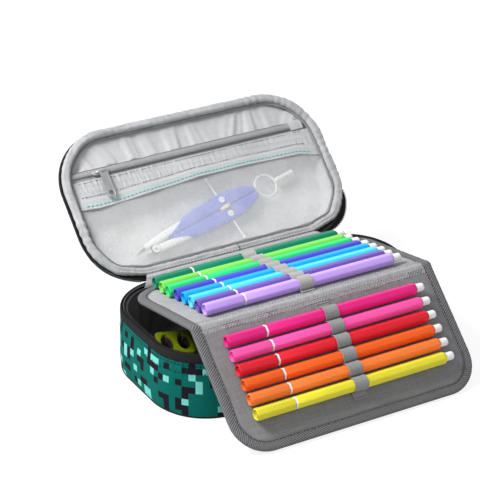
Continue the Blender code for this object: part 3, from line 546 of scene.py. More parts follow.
def build_weave(graph, given):
    """Over and under of plain cloth: the product of a sine along the warp and one along the weft."""
    parts = graph.parts(given["Vector"])
    turn = graph.math("DIVIDE", 2 * math.pi, given["Pitch"])
    threads = graph.math("MULTIPLY", graph.wave(parts[0], turn), graph.wave(parts[1], turn))
    yarn = graph.noise(graph.scale(given["Vector"], 1.0, 0.05), 0.0007)
    pick = graph.noise(graph.scale(given["Vector"], 0.05, 1.0), 0.0007)
    slub = graph.math("MULTIPLY", graph.math("ADD", yarn, pick), 0.5)
    return graph.math("MULTIPLY_ADD", threads, 0.5, 0.5), slub


def build_ribs(graph, given):
    """Slanted cords of a ribbed tape: a sine across them, cut by a finer one along them."""
    settings = {"Vector": given["Vector"], "Angle": given["Slant"]}
    parts = graph.parts(graph.node("VectorRotate", settings, rotation_type="Z_AXIS").outputs[0])
    turn = graph.math("DIVIDE", 2 * math.pi, given["Pitch"])
    rib = graph.math("MULTIPLY_ADD", graph.wave(parts[0], turn), 0.5, 0.5)
    fine = graph.wave(parts[1], graph.math("MULTIPLY", turn, 1.9))
    return graph.math("POWER", rib, 0.7), graph.math("MULTIPLY_ADD", fine, 0.5, 0.5)


# Squares of the print: cells wide and tall, and the chances of dark and of light
SQUARE_KINDS = (
    (1.0, 1.0, 0.15, 0.905),
    (2.0, 1.0, 0.015, 0.993),
    (1.0, 2.0, 0.060, 0.990),
    (2.0, 2.0, 0.004, 0.994),
)


def build_squares(graph, given):
    """Scattered squares: cells of a grid whose random number is low are dark, or high are light."""
    dark = None
    light = None
    for number, (wide, tall, low, high) in enumerate(SQUARE_KINDS):
        parts = graph.parts(graph.times(given["Vector"], given["Cells per metre"]))
        column = graph.math("FLOOR", graph.math("DIVIDE", parts[0], wide))
        rank = graph.math("FLOOR", graph.math("DIVIDE", parts[1], tall))
        cell = graph.node("CombineXYZ", {0: column, 1: rank, 2: 7.0 + number})
        draw = graph.node("TexWhiteNoise", {"Vector": cell.outputs[0]}).outputs["Value"]
        here_dark = graph.math("LESS_THAN", draw, low)
        here_light = graph.math("GREATER_THAN", draw, high)
        if dark is None:
            dark = here_dark
            light = here_light
            continue
        both = graph.math("MAXIMUM", dark, here_dark)
        dark = graph.math("MULTIPLY", both, graph.math("SUBTRACT", 1.0, here_light))
        left = graph.math("MULTIPLY", light, graph.math("SUBTRACT", 1.0, here_dark))
        light = graph.math("MAXIMUM", left, here_light)
    return dark, light


def build_cloud(graph, given):
    """Slow change of tone over a surface, with finer flecks of lint on it."""
    slow = graph.noise(given["Vector"], 0.035, 2.0)
    fleck = graph.noise(given["Vector"], 0.0011, 2.0, 0.6)
    return slow, graph.level(fleck, 0.66, 0.80)


def build_net(graph, given):
    """Threads of a sheer net: 1 on a thread of either direction and 0 in the holes."""
    lines = []
    for part in graph.parts(given["Vector"])[:2]:
        cell = graph.math("FRACT", graph.math("DIVIDE", part, given["Pitch"]))
        edge = graph.math("ABSOLUTE", graph.math("SUBTRACT", cell, 0.5))
        lines.append(graph.level(edge, 0.22, 0.36, 1.0, 0.0))
    return (graph.math("MAXIMUM", *lines),)


WEAVE = make_group("cloth_weave", {"Vector": None, "Pitch": 0.0005}, ("Over", "Slub"), build_weave)
RIB_INPUTS = {"Vector": None, "Pitch": 0.0013, "Slant": 0.8}
RIBS = make_group("ribbed_tape", RIB_INPUTS, ("Rib", "Fine"), build_ribs)
SQUARE_INPUTS = {"Vector": None, "Cells per metre": 215.0}
SQUARES = make_group("scattered_squares", SQUARE_INPUTS, ("Dark", "Light"), build_squares)
CLOUD = make_group("tone_cloud", {"Vector": None}, ("Slow", "Lint"), build_cloud)
NET = make_group("net_threads", {"Vector": None, "Pitch": 0.0006}, ("Thread",), build_net)


class Finish(Graph):
    """A material, with its shader and the surface's plan and object places."""

    def __init__(self, name, **constants):
        self.material = bpy.data.materials.new(name)
        self.material.use_nodes = True
        super().__init__(self.material.node_tree)
        self.shader = self.tree.nodes["Principled BSDF"]
        self.feed(self.shader, **constants)
        self.plan = self.node("UVMap", uv_map="plan").outputs[0]
        self.where = self.node("TexCoord").outputs["Object"]

    def colour(self, colour, parts, lint=None):
        """A colour times 1 + the sum of (value - 0.5) times its weight, with or without lint."""
        total = 1.0
        for value, weight in parts:
            shift = self.math("MULTIPLY_ADD", value, weight, -0.5 * weight)
            total = self.math("ADD", total, shift)
        made = self.times(colour[:3] if isinstance(colour, tuple) else colour, total)
        if lint:
            made = self.mix(self.math("MULTIPLY", *lint), made, tone(*LINT))
        self.feed(self.shader, Base_Color=made)

    def bump(self, parts, distance=0.0003, strength=0.8):
        """Adds height times weight for each part, and feeds the shader's normal."""
        total = 0.0
        for value, weight in parts:
            total = self.math("MULTIPLY_ADD", value, weight, total)
        made = self.node("Bump", {"Height": total, "Distance": distance, "Strength": strength})
        self.feed(self.shader, Normal=made.outputs[0])


def cloth(name, colour, pitch=0.0005, roughness=0.85, slub=0.35, over=0.18, crease=0.0, sheen=0.15):
    """Plain woven cloth: warp and weft, uneven yarns, slow changes of tone and some lint."""
    made = Finish(name, Roughness=roughness, Specular_IOR_Level=0.2)
    made.feed(made.shader, Sheen_Weight=sheen, Sheen_Roughness=0.5)
    weave = made.use(WEAVE, Vector=made.plan, Pitch=pitch)
    cloud = made.use(CLOUD, Vector=made.where)
    parts = [(weave["Over"], over), (weave["Slub"], slub), (cloud["Slow"], 0.16)]
    heights = [(weave["Over"], 0.35), (weave["Slub"], 0.7)]
    # Creases also darken the colour where their bump sinks: painted shade in the creases.
    if crease:
        folds = made.noise(made.where, 0.006, 3.0, 0.55)
        parts.append((folds, crease))
        heights.append((folds, 6 * crease))
    made.colour(colour, parts, (cloud["Lint"], 0.10))
    made.bump(heights)
    return made.material


def ribbed(name, colour, pitch, slant, depth=0.5, roughness=0.82):
    """Ribbed tape: slanted cords, with painted shade that darkens the furrows between them."""
    made = Finish(name, Roughness=roughness, Specular_IOR_Level=0.15)
    ribs = made.use(RIBS, Vector=made.plan, Pitch=pitch, Slant=slant)
    cloud = made.use(CLOUD, Vector=made.where)
    # The ribs' part of the colour is painted shade: darker in the furrows and lighter on the cords, as
    # strong as the depth.
    parts = [(ribs["Rib"], depth), (ribs["Fine"], 0.10), (cloud["Slow"], 0.18)]
    made.colour(colour, parts, (cloud["Lint"], 0.08))
    made.bump([(ribs["Rib"], 1.0), (ribs["Fine"], 0.2)], 0.0003, 0.9)
    return made.material


def thread(name, colour):
    """Twisted sewing thread: a fine slant on the thread's own length."""
    made = Finish(name, Roughness=0.7, Specular_IOR_Level=0.2)
    ribs = made.use(RIBS, Vector=made.where, Pitch=0.0005, Slant=0.6)
    made.colour(colour, [(ribs["Rib"], 0.3)])
    made.bump([(ribs["Rib"], 1.0)], 0.0001, 0.6)
    return made.material


def plastic(name, colour, roughness=0.32, coat=0.25, through=0.0):
    """Moulded plastic: a faint flow of tone, and a skin with a very fine texture."""
    made = Finish(name, Coat_Weight=coat, Coat_Roughness=0.12, Transmission_Weight=through)
    flow = made.noise(made.scale(made.where, 0.25, 1.0), 0.004, 2.0)
    fine = made.noise(made.where, 0.0004, 2.0)
    made.colour(colour, [(flow, 0.08), (fine, 0.04)])
    rough = made.level(flow, 0.2, 0.8, roughness - 0.05, roughness + 0.08)
    made.feed(made.shader, Roughness=rough, Specular_IOR_Level=0.35)
    made.bump([(fine, 0.4), (flow, 0.6)], 0.00005, 0.5)
    return made.material


def metal(name, colour, roughness=0.28, pure=1.0):
    """Cast and tumbled metal: small dents, and duller patches where it is handled."""
    made = Finish(name, Metallic=pure)
    dull = made.noise(made.where, 0.0035, 3.0, 0.6)
    fine = made.noise(made.where, 0.0006, 3.0, 0.6)
    made.colour(colour, [(dull, 0.2), (fine, 0.12)])
    made.feed(made.shader, Roughness=made.level(dull, 0.3, 0.7, roughness - 0.06, roughness + 0.14))
    made.bump([(fine, 0.6), (dull, 1.0)], 0.00008, 0.6)
    return made.material


def printed(name):
    """Canvas with a scattered print of dark and light squares, whose edges follow the yarns."""
    made = Finish(name, Roughness=0.92, Specular_IOR_Level=0.12)
    weave = made.use(WEAVE, Vector=made.plan, Pitch=0.00045)
    squares = made.use(SQUARES, Vector=made.plan)
    cloud = made.use(CLOUD, Vector=made.where)
    dyed = made.mix(squares["Dark"], tone(*PRINT_GROUND), tone(*PRINT_DARK))
    dyed = made.mix(squares["Light"], dyed, tone(*PRINT_LIGHT))
    made.colour(dyed, [(weave["Over"], 0.2), (weave["Slub"], 0.45), (cloud["Slow"], 0.15)])
    made.bump([(weave["Over"], 0.5), (weave["Slub"], 0.5)])
    return made.material


def sheer(name):
    """Sheer net: threads that hide what is behind, and holes that let most of it show."""
    made = Finish(name, Roughness=0.75, Sheen_Weight=0.1)
    net = made.use(NET, Vector=made.plan, Pitch=0.0009)
    drift = made.noise(made.plan, 0.012, 3.0)
    cloud = made.use(CLOUD, Vector=made.where)
    made.colour(tone(233, 233, 234), [(net["Thread"], 0.14), (drift, 0.12), (cloud["Slow"], 0.10)])
    holes = made.math("MULTIPLY_ADD", drift, 0.10, 0.06)
    made.feed(made.shader, Alpha=made.math("MULTIPLY_ADD", net["Thread"], 0.165, holes))
    made.bump([(net["Thread"], 1.0)], 0.0001, 0.5)
    return made.material


# Finishes

print_cloth = printed("printed canvas")
black_tape = ribbed("black zip tape", tone(34, 34, 36), 0.0011, 1.5708, 0.35, 0.9)
black_cloth = cloth("black cloth", tone(40, 40, 42), 0.0005, 0.9)
black_coil = plastic("black zip coil", tone(30, 30, 32), 0.4, 0.1)
dark_cloth = cloth("dark lining", tone(104, 104, 107), 0.0004, 0.6, 0.3, 0.15, 0.35, 0.1)
light_cloth = cloth("light lining", tone(212, 212, 213), 0.0005, 0.8, 0.22, 0.10, 0.10)
header_cloth = cloth("header cloth", tone(190, 190, 191), 0.0005, 0.8, 0.25, 0.12, 0.18)
hem_cloth = cloth("band cloth", tone(187, 187, 188), 0.0006, 0.85, 0.35, 0.15, 0.06)
flap_roll_cloth = cloth("zip flap cloth", tone(152, 152, 154), 0.0006, 0.8, 0.4, 0.16, 0.06)
roll_cloth = cloth("rim cloth", tone(171, 171, 173), 0.0008, 0.85, 0.7, 0.35, 0.45)
welt_cloth = cloth("welt cloth", tone(132, 132, 134), 0.0007, 0.9, 0.5, 0.2, 0.2)
net_cloth = sheer("sheer net")
grey_cloth = cloth("grey leaf cloth", tone(156, 156, 158), 0.0009, 0.9, 1.1, 0.3, 0.06)
# A darker copy of the grey leaf cloth: painted shade on the lower leaf, which is turned further from the
# light than the upper one.
lower_leaf_painted_shade = cloth("lower leaf cloth painted darker as shade", tone(126, 126, 128), 0.0009, 0.9, 1.1, 0.3, 0.06)
grey_ribs = ribbed("grey ribbed binding", tone(105, 105, 107), 0.00145, 0.95, 1.2)
# One elastic tape in two copies: the upper row's painted lighter and the lower row's painted darker, painted
# light and shade for how each leaf faces the light.
upper_band_painted_light = ribbed("upper elastic band painted lighter", tone(178, 177, 175), 0.0010, 0.0, 0.5)
lower_band_painted_shade = ribbed("lower elastic band painted darker", tone(146, 146, 147), 0.0010, 0.0, 0.5)
grey_thread = thread("grey thread", tone(84, 84, 86))
seam_thread = thread("seam thread", tone(66, 66, 68))
pale_thread = thread("pale thread", tone(206, 206, 206))
fold_thread = thread("fold thread", tone(154, 154, 156))
dark_thread = thread("dark thread", tone(8, 14, 18))
turquoise_thread = thread("turquoise thread", tone(96, 208, 206))
steel = metal("nickel plate", tone(188, 188, 190), 0.36, 0.7)
dark_metal = metal("gunmetal plate", tone(74, 74, 78), 0.35)
leg_blue = plastic("compass blue", tone(92, 108, 214), 0.35)
leg_white = plastic("compass white", tone(244, 244, 242), 0.4)
wheel_cream = plastic("wheel cream", tone(226, 208, 176), 0.4)
tip_grey = plastic("tip grey", tone(96, 96, 98), 0.4)
zip_grey = plastic("zip grey", tone(122, 122, 124), 0.45)
plug_white = plastic("plug white", tone(238, 238, 238), 0.42)
sharpener_green = plastic("clear green", tone(108, 122, 10), 0.22, 0.3, 0.15)
# Dark cups in the sharpener's wells: painted shade for the deep inside of the wells.
sharpener_well_shade = plastic("well shade", tone(46, 30, 40), 0.2, 0.4, 0.05)
nib_dark = plastic("felt tip", tone(60, 60, 66), 0.9, 0.0)


# Tub

WALL_FOOT = 1.6
WALL_RISE = 39.9
WALL_SKIN = 1.1
WALL_SEAM_HIGH = 38.7
WALL_SEAM_LOW = 33.0
SHELL_PITCH = 2.95
TUB_ZIP_GAP = 68.6
LID_ZIP_GAP = 74.0
TUB_COIL_AT = (2.2, 46.4)
LID_COIL_AT = (0.45, -3.9)


def make_wall():
    """Printed wall with a slack belly. It stands out by sin^0.8 of its height plus a foot that
    falls as (1 - height)^2, is drawn in along its two seams, and puckers near them."""
    run = spread(0, TUB_ROUND, 401)
    rise = np.linspace(0, 1, 27)[None]
    level = WALL_FOOT + WALL_RISE * rise
    _, out_y = TUB_LOOP.outward(run)
    foot = 0.9 + 1.3 * ease(-out_y, 0.2, 1.0)
    belly = 1.3 * arch(rise) ** 0.8 + foot * (1 - rise) ** 2
    belly = belly + 0.35 * ripple(run, TUB_ROUND, (5, 14), 3) * arch(rise)
    pucker = 0.16 * ripple(run, TUB_ROUND, (60, 110), 4)
    pucker = pucker * (hump(level, 38.6, 4) + hump(level, WALL_SEAM_LOW, 3))
    seams = 0.25 * (hump(level, WALL_SEAM_HIGH, 0.8) + hump(level, WALL_SEAM_LOW, 0.8))
    inset = 0.4 * (1 - rise) ** 12 + seams - belly - pucker
    outer = TUB_LOOP.lay(run, inset, level)
    inner = TUB_LOOP.lay(run, inset + WALL_SKIN, level)
    skin = Skin().thick(outer, inner, plan_of(run, level), closed=True)
    wall = place("tub_printed_wall", skin, [print_cloth], "tub", ["tub_side_wall"])

    skin = Skin()
    runs = np.arange(1.0, TUB_ROUND, SHELL_PITCH)
    for level, belly in ((WALL_SEAM_HIGH, 0.35), (WALL_SEAM_LOW, 0.80)):
        skin.seam(TUB_LOOP, runs, -belly, level, (1, 0), 1.9, 0.75, 0.5)
    place("tub_wall_stitches", skin, [dark_thread], "tub")


def make_tub_band():
    """Black tape over the wall's top edge, open at the back, with its half of the case's zip."""
    run = spread(TUB_ZIP_GAP, TUB_ROUND - TUB_ZIP_GAP, 301)
    inset = row(0.05, -0.35, -0.45, -0.45, -0.40, -0.25, 0.10, 0.55)
    level = row(40.4, 40.9, 41.8, 43.2, 44.8, 46.2, 47.1, 47.35)
    under = inset + row(0.5, 0.7, 0.8, 0.8, 0.8, 0.8, 0.75, 0.4)
    sway = 0.12 * ripple(run, 458, (6, 18), 5)
    outer = TUB_LOOP.lay(run, inset + sway, level)
    inner = TUB_LOOP.lay(run, under + sway, level + row(0, 0, 0, 0, 0, -0.1, -0.4, -0.75))
    skin = Skin().thick(outer, inner)
    band = place("tub_zip_band", skin, [black_tape], "tub", ["tub_zip_tape"])

    teeth = coil(TUB_LOOP, *TUB_COIL_AT, TUB_ZIP_GAP)
    place("tub_zip_teeth", teeth, [black_coil], "tub", ["tub_zip_coil"], sharp=60)


def make_base():
    """Piping round the wall's foot, and the base: rings drawn in to a line by a share."""
    runs = np.linspace(0, TUB_ROUND, 361)
    _, out_y = TUB_LOOP.outward(runs)
    inset = 0.1 - 1.3 * ease(-out_y, 0.2, 1.0)
    skin = Skin().cord(TUB_LOOP, runs, inset[:, None], 0.95, 0.9, 0.95)
    place("tub_wall_piping", skin, [black_tape], "tub", ["tub_base_piping"])

    inset = row(1.2, 6, 12, 18, 24, 30, 30, 30, 30, 30)
    x, y = TUB_LOOP.at(spread(0, TUB_ROUND, 241), inset, row(1, 1, 1, 1, 1, 1, 0.75, 0.5, 0.25, 0.0))
    lift = 0.18 * crumple(x, y, 26, 6) * ease(inset, 3, 12)
    skin = slab(TUB, x, y, 2.0 + lift, 0.35 + np.maximum(lift, -0.3), closed=True)
    base = place("tub_base", skin, [black_cloth], "tub", ["tub_base_panel"])


COIL_STEPS = 9
COIL_PITCH = 1.35
COIL_WIDE = 0.85
COIL_HIGH = 0.72
WIRE = 0.31
CORE = 0.5


def wound(skin, leaf, core, wire, thick=WIRE, mark=0):
    """A zip's coil: a wire wound in flat turns about a cord, with the cord inside it."""
    skin.tube(wire, thick, 5, unit(wire - core), mark=mark)
    return skin.tube(core[::COIL_STEPS], CORE, 7, leaf.direct(0, 0, 1), mark=mark)


def coil(loop, inset, level, gap):
    """The coil round a loop, with a gap before its start and after its end: the wire lies at the
    cord's place plus wide cos a inwards and high sin a up."""
    turns = int((loop.length - 2 * gap) / COIL_PITCH)
    run = np.linspace(gap, loop.length - gap, turns * COIL_STEPS + 1)
    turn = np.linspace(0, 2 * np.pi * turns, len(run))
    wire = loop.lay(run, inset + COIL_WIDE * np.cos(turn), level + COIL_HIGH * np.sin(turn))
    return wound(Skin(), loop.leaf, loop.lay(run, inset, level), wire)


LINING_SKIN = 0.7


def make_lining():
    """Dark lining: a dish whose sides hang in upright folds, and a floor that sags between them.
    The folds stand in by sin^0.7 of the way down, and the floor is crumpled."""
    run = spread(0, TUB_ROUND, 481)
    down = np.linspace(0, 1, 22)[None]
    folds = ripple(run, TUB_ROUND, (12, 26), 11) + 0.5 * ripple(run, TUB_ROUND, (40, 70), 12)
    inset = 3.1 + 0.5 * down + 2.5 * np.maximum(folds, -0.4) * arch(np.minimum(down * 1.1, 1)) ** 0.7
    level = 44.7 - 39.4 * down + 0.25 * ripple(run, TUB_ROUND, (8, 20), 13) * (1 - down)
    x_side, y_side = TUB_LOOP.at(run, inset + 4 * ease(down, 0.86, 1.0) ** 2)
    floor_in = row(9, 12, 16, 22, 28, 34, 34, 34, 34, 34, 34)
    x_floor, y_floor = TUB_LOOP.at(run, floor_in, row(1, 1, 1, 1, 1, 1, 0.8, 0.6, 0.4, 0.2, 0.0))
    sag = 4.6 + 0.45 * crumple(x_floor, y_floor, 30, 14) + 0.5 * hump(floor_in, 9, 3)
    x = np.concatenate([x_side, x_floor], 1)
    y = np.concatenate([y_side, y_floor], 1)
    z = np.concatenate([level, sag], 1)
    out_x, out_y = TUB_LOOP.outward(run)
    side = np.concatenate([np.ones_like(level), np.zeros_like(sag)], 1)
    sunk = LINING_SKIN * side
    outer = TUB.carry(x + sunk * out_x, y + sunk * out_y, z - LINING_SKIN * (1 - side))
    inner = TUB.carry(x, y, z)
    skin = Skin().thick(inner, outer, closed=True)
    lining = place("tub_dark_lining", skin, [dark_cloth], "tub", ["tub_lining"])

    runs = np.linspace(0, TUB_ROUND, 361)
    swell = 0.10 * ripple(runs[:, None], TUB_ROUND, (30, 60), 15)
    skin = Skin().cord(TUB_LOOP, runs, 4.0, 44.6, 0.95, 0.8, swell)
    place("tub_lining_roll", skin, [black_cloth], "tub")


def make_tub():
    make_wall()
    make_tub_band()
    make_lining()
    make_base()


# Lid

SHELL_BEND = 8
SHELL_SKIN = 1.5
SHELL_BACK = -19
SHELL_STAND = 11


def make_shell():
    """Printed shell with rounded edges. Its section is an upright hem, a quarter turn and a
    crowned face, whose rings are drawn in towards the middle by a share."""
    run = spread(0, LID_ROUND, 401)
    turn = np.radians(np.linspace(0, 90, 9))[1:]
    bend = SHELL_BEND * turn
    quarter = SHELL_BEND - SHELL_BEND * np.cos(turn)
    inset = row(0.3, 0.0, -0.1, 0.0, *quarter, 11, 15, 20, 26, 32, *[38] * 6)
    lean = row(4.3, 4.4, 4.7, 5.0, *(5.2 - 2.6 * np.sin(turn)), 1.6, 0.7, *[0] * 9)
    quarter = -SHELL_STAND - SHELL_BEND * np.sin(turn)
    level = row(-9.1, -9.5, -10.2, -SHELL_STAND, *quarter, *[SHELL_BACK] * 11)
    share = row(*[1] * 18, 0.8, 0.6, 0.4, 0.2, 0.0)
    x, y = LID_LOOP.at(run, inset, share)
    crown = 0.25 * crumple(x, y, 34, 21) * ease(inset, 6, 20) - 0.7 * ease(inset, 4, 30)
    pucker = 0.16 * ripple(run, LID_ROUND, (60, 100), 22) * hump(level, -11.5, 3)
    x, y = LID_LOOP.at(run, inset + lean - pucker, share)
    steps = row(-2.1, -1.7, -1.0, 0.0, *bend, *(bend[-1] + inset[0, 12:] - SHELL_BEND))
    out_x, out_y = LID_LOOP.outward(run)
    face_x, face_y = LID_LOOP.at(run, np.maximum(inset, SHELL_BEND), share)
    beyond = np.where(inset < SHELL_BEND, bend[-1] - steps, 0)
    push = np.cos(np.minimum(np.maximum(steps, 0) / SHELL_BEND, np.pi / 2))
    push = np.where(inset < SHELL_BEND, push, 0.0)
    lift = SHELL_SKIN * np.sqrt(np.maximum(1 - push**2, 0))
    z = level + crown
    inner = LID.carry(x - SHELL_SKIN * push * out_x, y - SHELL_SKIN * push * out_y, z + lift)
    plan = plan_of(face_x + out_x * beyond, face_y + out_y * beyond)
    skin = Skin().thick(LID.carry(x, y, z), inner, plan, closed=True)
    shell = place("lid_printed_shell", skin, [print_cloth], "lid", ["lid_shell"])

    runs = np.arange(1.0, LID_ROUND, SHELL_PITCH)
    skin = Skin().seam(LID_LOOP, runs, 4.95, -11.6, (1, 0), 2.0, 0.5, 0.5)
    place("lid_shell_stitches", skin, [dark_thread], "lid")


def make_lid_band():
    """Black tape round the shell's rim, with the other half of the case's zip."""
    run = spread(0, LID_ROUND, 361)
    inset = row(6.2, 3.4, 1.15, 0.80, 0.50, 0.60, 1.0, 1.75, 2.7, 3.1)
    level = row(-5.0, -4.0, -3.3, -3.4, -3.9, -4.8, -6.0, -7.6, -9.4, -9.9)
    under = inset + row(0, 0, 0.4, 0.75, 0.8, 0.8, 0.8, 0.8, 0.7, 0.5)
    sway = 0.12 * ripple(run, LID_ROUND, (6, 18), 23)
    outer = LID_LOOP.lay(run, inset + sway, level)
    inner = LID_LOOP.lay(run, under + sway, level + row(-0.6, -0.7, -0.75, -0.4, -0.1, 0, 0, 0, 0, 0))
    skin = Skin().thick(outer, inner, closed=True)
    band = place("lid_zip_band", skin, [black_tape], "lid", ["lid_zip_tape"])

    teeth = coil(LID_LOOP, *LID_COIL_AT, LID_ZIP_GAP)
    place("lid_zip_teeth", teeth, [black_coil], "lid", ["lid_zip_coil"], sharp=60)


TAIL_START = 80
TAIL_LENGTH = 42


def tail_reach(run):
    """How far out the tail's edge stands: sin^0.6 from its start to its end."""
    return 4.4 * arch(np.clip((run - TAIL_START) / TAIL_LENGTH, 0, 1)) ** 0.6


def make_zip_tail():
    """The tape turned outwards at the rear right corner, where the case's zip ends, with its teeth."""
    run = spread(TAIL_START, TAIL_START + TAIL_LENGTH, 61)
    share = np.linspace(0, 1, 9)[None]
    inset = 2.2 - share * (tail_reach(run) + 2.0)
    level = -3.6 - 1.4 * share**2 + 0.15 * ripple(run, 60, (3, 7), 24)
    skin = Skin()
    skin.thick(LID_LOOP.lay(run, inset, level), LID_LOOP.lay(run, inset, level - 0.6), turned=True)
    tail = place("lid_zip_tail", skin, [black_tape], "lid")
    runs = np.arange(83.0, 119.5, 1.5)
    along = LID.direct(*LID_LOOP.outward(runs), 0)
    teeth = LID_LOOP.lay(runs, 0.3 - tail_reach(runs), -4.6)
    skin = Skin().stitches(teeth, along, LID.direct(0, 0, 1), 2.2, 0.9, 1.1)
    place("lid_zip_tail_teeth", skin, [black_coil], "lid")


def rear_slack(run):
    """How far further in the roll lies along the hinge side than along the others."""
    _, out_y = LID_LOOP.outward(run)
    return 3.1 * ease(-out_y, 0.75, 1.0)


def roll_middle(run):
    """How far in the roll's middle lies: furthest at the hinge, further at the left than the right."""
    out_x, out_y = LID_LOOP.outward(run)
    corner = ease(out_x, 0.1, 0.6) * ease(-out_y, 0.1, 0.6)
    side = 2.1 * ease(-out_x, 0.0, 0.8) - 0.8 * ease(out_y, 0.0, 0.9) + 1.6 * corner
    return 2.7 + side + 1.4 * rear_slack(run)


ROLL_LEVEL = -2.5
ROLL_RADIUS = 3.4
ROLL_WIDE = 3.15
ROLL_HIGH = 2.7
ROLL_JOINT = (3.2, 2.72)


def on_roll(run, turn, wide, high, size=1.0):
    """Places round the roll's section: an oval, its middle plus wide cos a inwards and high sin a
    up, which is smaller and lower at the hinge side."""
    slack = rear_slack(run)
    inset = roll_middle(run) + (wide - 0.15 * slack) * size * np.cos(turn)
    level = ROLL_LEVEL - 0.4 * slack + (high - 0.10 * slack) * size * np.sin(turn)
    return LID_LOOP.lay(run, inset, level)


def make_roll_joint():
    """The sewn butt joint of the roll's two ends, a thin cord over the roll at the hinge side."""
    turn = np.linspace(np.radians(-15), np.radians(190), 31)
    skin = Skin().tube(on_roll(np.full(31, 6.5), turn, *ROLL_JOINT), 0.4, 10, LID.direct(1, 0, 0))
    place("lid_roll_joint", skin, [grey_thread], "lid")


def make_rim_roll():
    """The padded roll: a flattened tube whose top is creased, with a stitched groove inside it."""
    run = spread(0, LID_ROUND, 601)
    turn = circle(24)[None]
    swell = 0.06 * ripple(run, LID_ROUND, (10, 26), 31) + 0.05 * ripple(run, LID_ROUND, (70, 120), 32)
    groove = 0.5 * hump(np.mod(turn - 1.75 + np.pi, 2 * np.pi) - np.pi, 0, 0.16)
    shift = 1.5 * ripple(run, LID_ROUND, (8, 16), 33)
    crease = 0.26 * np.sin(3 * turn + shift) * np.maximum(np.sin(turn), 0)
    size = (1 + swell) * (1 - groove / ROLL_RADIUS + crease / ROLL_RADIUS)
    plan = plan_of(ROLL_RADIUS * np.linspace(0, 2 * np.pi, 25)[None], run)
    skin = Skin().add(on_roll(run, turn, ROLL_WIDE, ROLL_HIGH, size), plan)
    roll = place("lid_padded_roll", skin, [roll_cloth], "lid", ["lid_rim_roll"])


def make_roll_seams():
    """The welt inside the roll's foot with its stitches, and the stitches along the hinge side."""
    run = np.linspace(0, LID_ROUND, 481)
    swell = 0.14 * ripple(run[:, None], LID_ROUND, (20, 60), 34)
    skin = Skin().cord(LID_LOOP, run, roll_middle(run)[:, None] + 3.5, -3.35, 1.6, 0.85, swell)
    place("lid_roll_welt", skin, [welt_cloth], "lid")

    runs = np.arange(1.0, LID_ROUND, 2.1)
    skin = Skin().seam(LID_LOOP, runs, roll_middle(runs) + 3.7, -2.52, (0, 1), 1.3, 0.6, 0.45)
    place("lid_roll_stitches", skin, [grey_thread], "lid")
    runs = np.arange(0.6, LID_ROUND, 2.6)
    runs = runs[rear_slack(runs) > 0.3]
    level = -0.1 - 0.5 * rear_slack(runs)
    skin = Skin().seam(LID_LOOP, runs, roll_middle(runs) - 1.2, level, (0, 1), 1.7, 0.8, 0.5)
    place("lid_roll_rear_stitches", skin, [pale_thread], "lid")


def make_lid_lining():
    """Pale lining: a shallow dish from the roll's foot down to the shell, slack in the middle."""
    run = spread(0, LID_ROUND, 361)
    inset = row(6.4, 7.4, 8.4, 9.4, 11, 14, 18, 23, 28, *[34] * 6)
    level = row(-6.2, -9.0, -12.0, -14.8, -16.2, *[-16.5] * 10)
    share = row(*[1] * 10, 0.8, 0.6, 0.4, 0.2, 0.0)
    slack = (roll_middle(run) - 3.6) * (1 - ease(inset, 14, 28))
    x, y = LID_LOOP.at(run, inset + slack, share)
    z = level + 0.5 * crumple(x, y, 22, 41) * ease(inset, 9, 16) + 0.5 * ease(inset, 9, 16)
    skin = slab(LID, x, y, z - 0.5, z, closed=True)
    lining = place("lid_pale_lining", skin, [light_cloth], "lid", ["lid_lining"])


def make_lid():
    make_shell()
    make_lid_band()
    make_zip_tail()
    make_rim_roll()
    make_roll_seams()
    make_roll_joint()
    make_lid_lining()


# Lid pocket

NET_FOOT = 9.0
HEADER_FOOT = 91.0
HEADER_RISE = 20.6
POCKET_WIDTH = 190
COIL_LEVEL = -4.3
FINE_TURNS = 108
FINE_WIRE = 0.3
FINE_WIDE = 0.95
FINE_HIGH = 0.6
BAND_GAP = 2.4
BAND_WAVE = (30, 53)
RUFFLE_WAVE = (4.5, 52)
LID_ACROSS = LID.direct(1, 0, 0)
LID_OUT = LID.direct(0, 0, 1)


def across_pocket(level, inset, columns):
    """X over a pocket strip: the outline's half width at each level times shares from -1 to 1."""
    return abreast(LID_LOOP.half_width(level, inset), columns)


def hem_line(x):
    """Height up the lid of the band's lower edge, which sags between its ends."""
    return np.interp(x, [-95, -83, -43, 0, 41, 84, 98], [62.3, 61.2, 63.8, 67.0, 67.3, 66.0, 62.5])


def zip_line(x):
    """Height up the lid of the pocket zip's coil."""
    return 86.6 + 0.6 * np.sin((x + 20) / 60)


def band_line(x, share):
    """Height up the lid at a share of the band, from its lower edge to its upper one."""
    return hem_line(x) + share * (zip_line(x) - BAND_GAP - hem_line(x))


def make_net():
    """Sheer net from the rim up to the band, hollow in the middle by a sine of its height."""
    rows = spread(0, 1, 45)
    x = across_pocket(NET_FOOT + rows * 56, 5.6, 121)
    y = NET_FOOT + rows * (hem_line(x) + 1.5 - NET_FOOT)
    z = -5.3 + 0.35 * crumple(x, y, 30, 51) * arch(rows) - 0.3 * arch(rows)
    skin = slab(LID, x, y, z + 0.12, z - 0.12)
    net = place("pocket_net", skin, [net_cloth], "lid", ["pocket_mesh_panel"])


def make_hem_band():
    """The band over the net's top edge: a hem twice as thick, then a ruffled strip."""
    rows = spread(0, 1, 31)
    x = across_pocket(66 + 19 * rows, 5.8, 201)
    y = band_line(x, rows)
    hem = 0.35 * (1 - ease(rows, 0.30, 0.36))
    ruffle = 0.22 * crumple(x * 1.6, y, *RUFFLE_WAVE) * ease(rows, 0.36, 0.5)
    z = -4.9 + hem + ruffle + 0.3 * crumple(x, y, *BAND_WAVE)
    skin = slab(LID, x, y, z + 0.3, z - 0.4)
    band = place("pocket_hem_band", skin, [hem_cloth], "lid", ["pocket_band"])


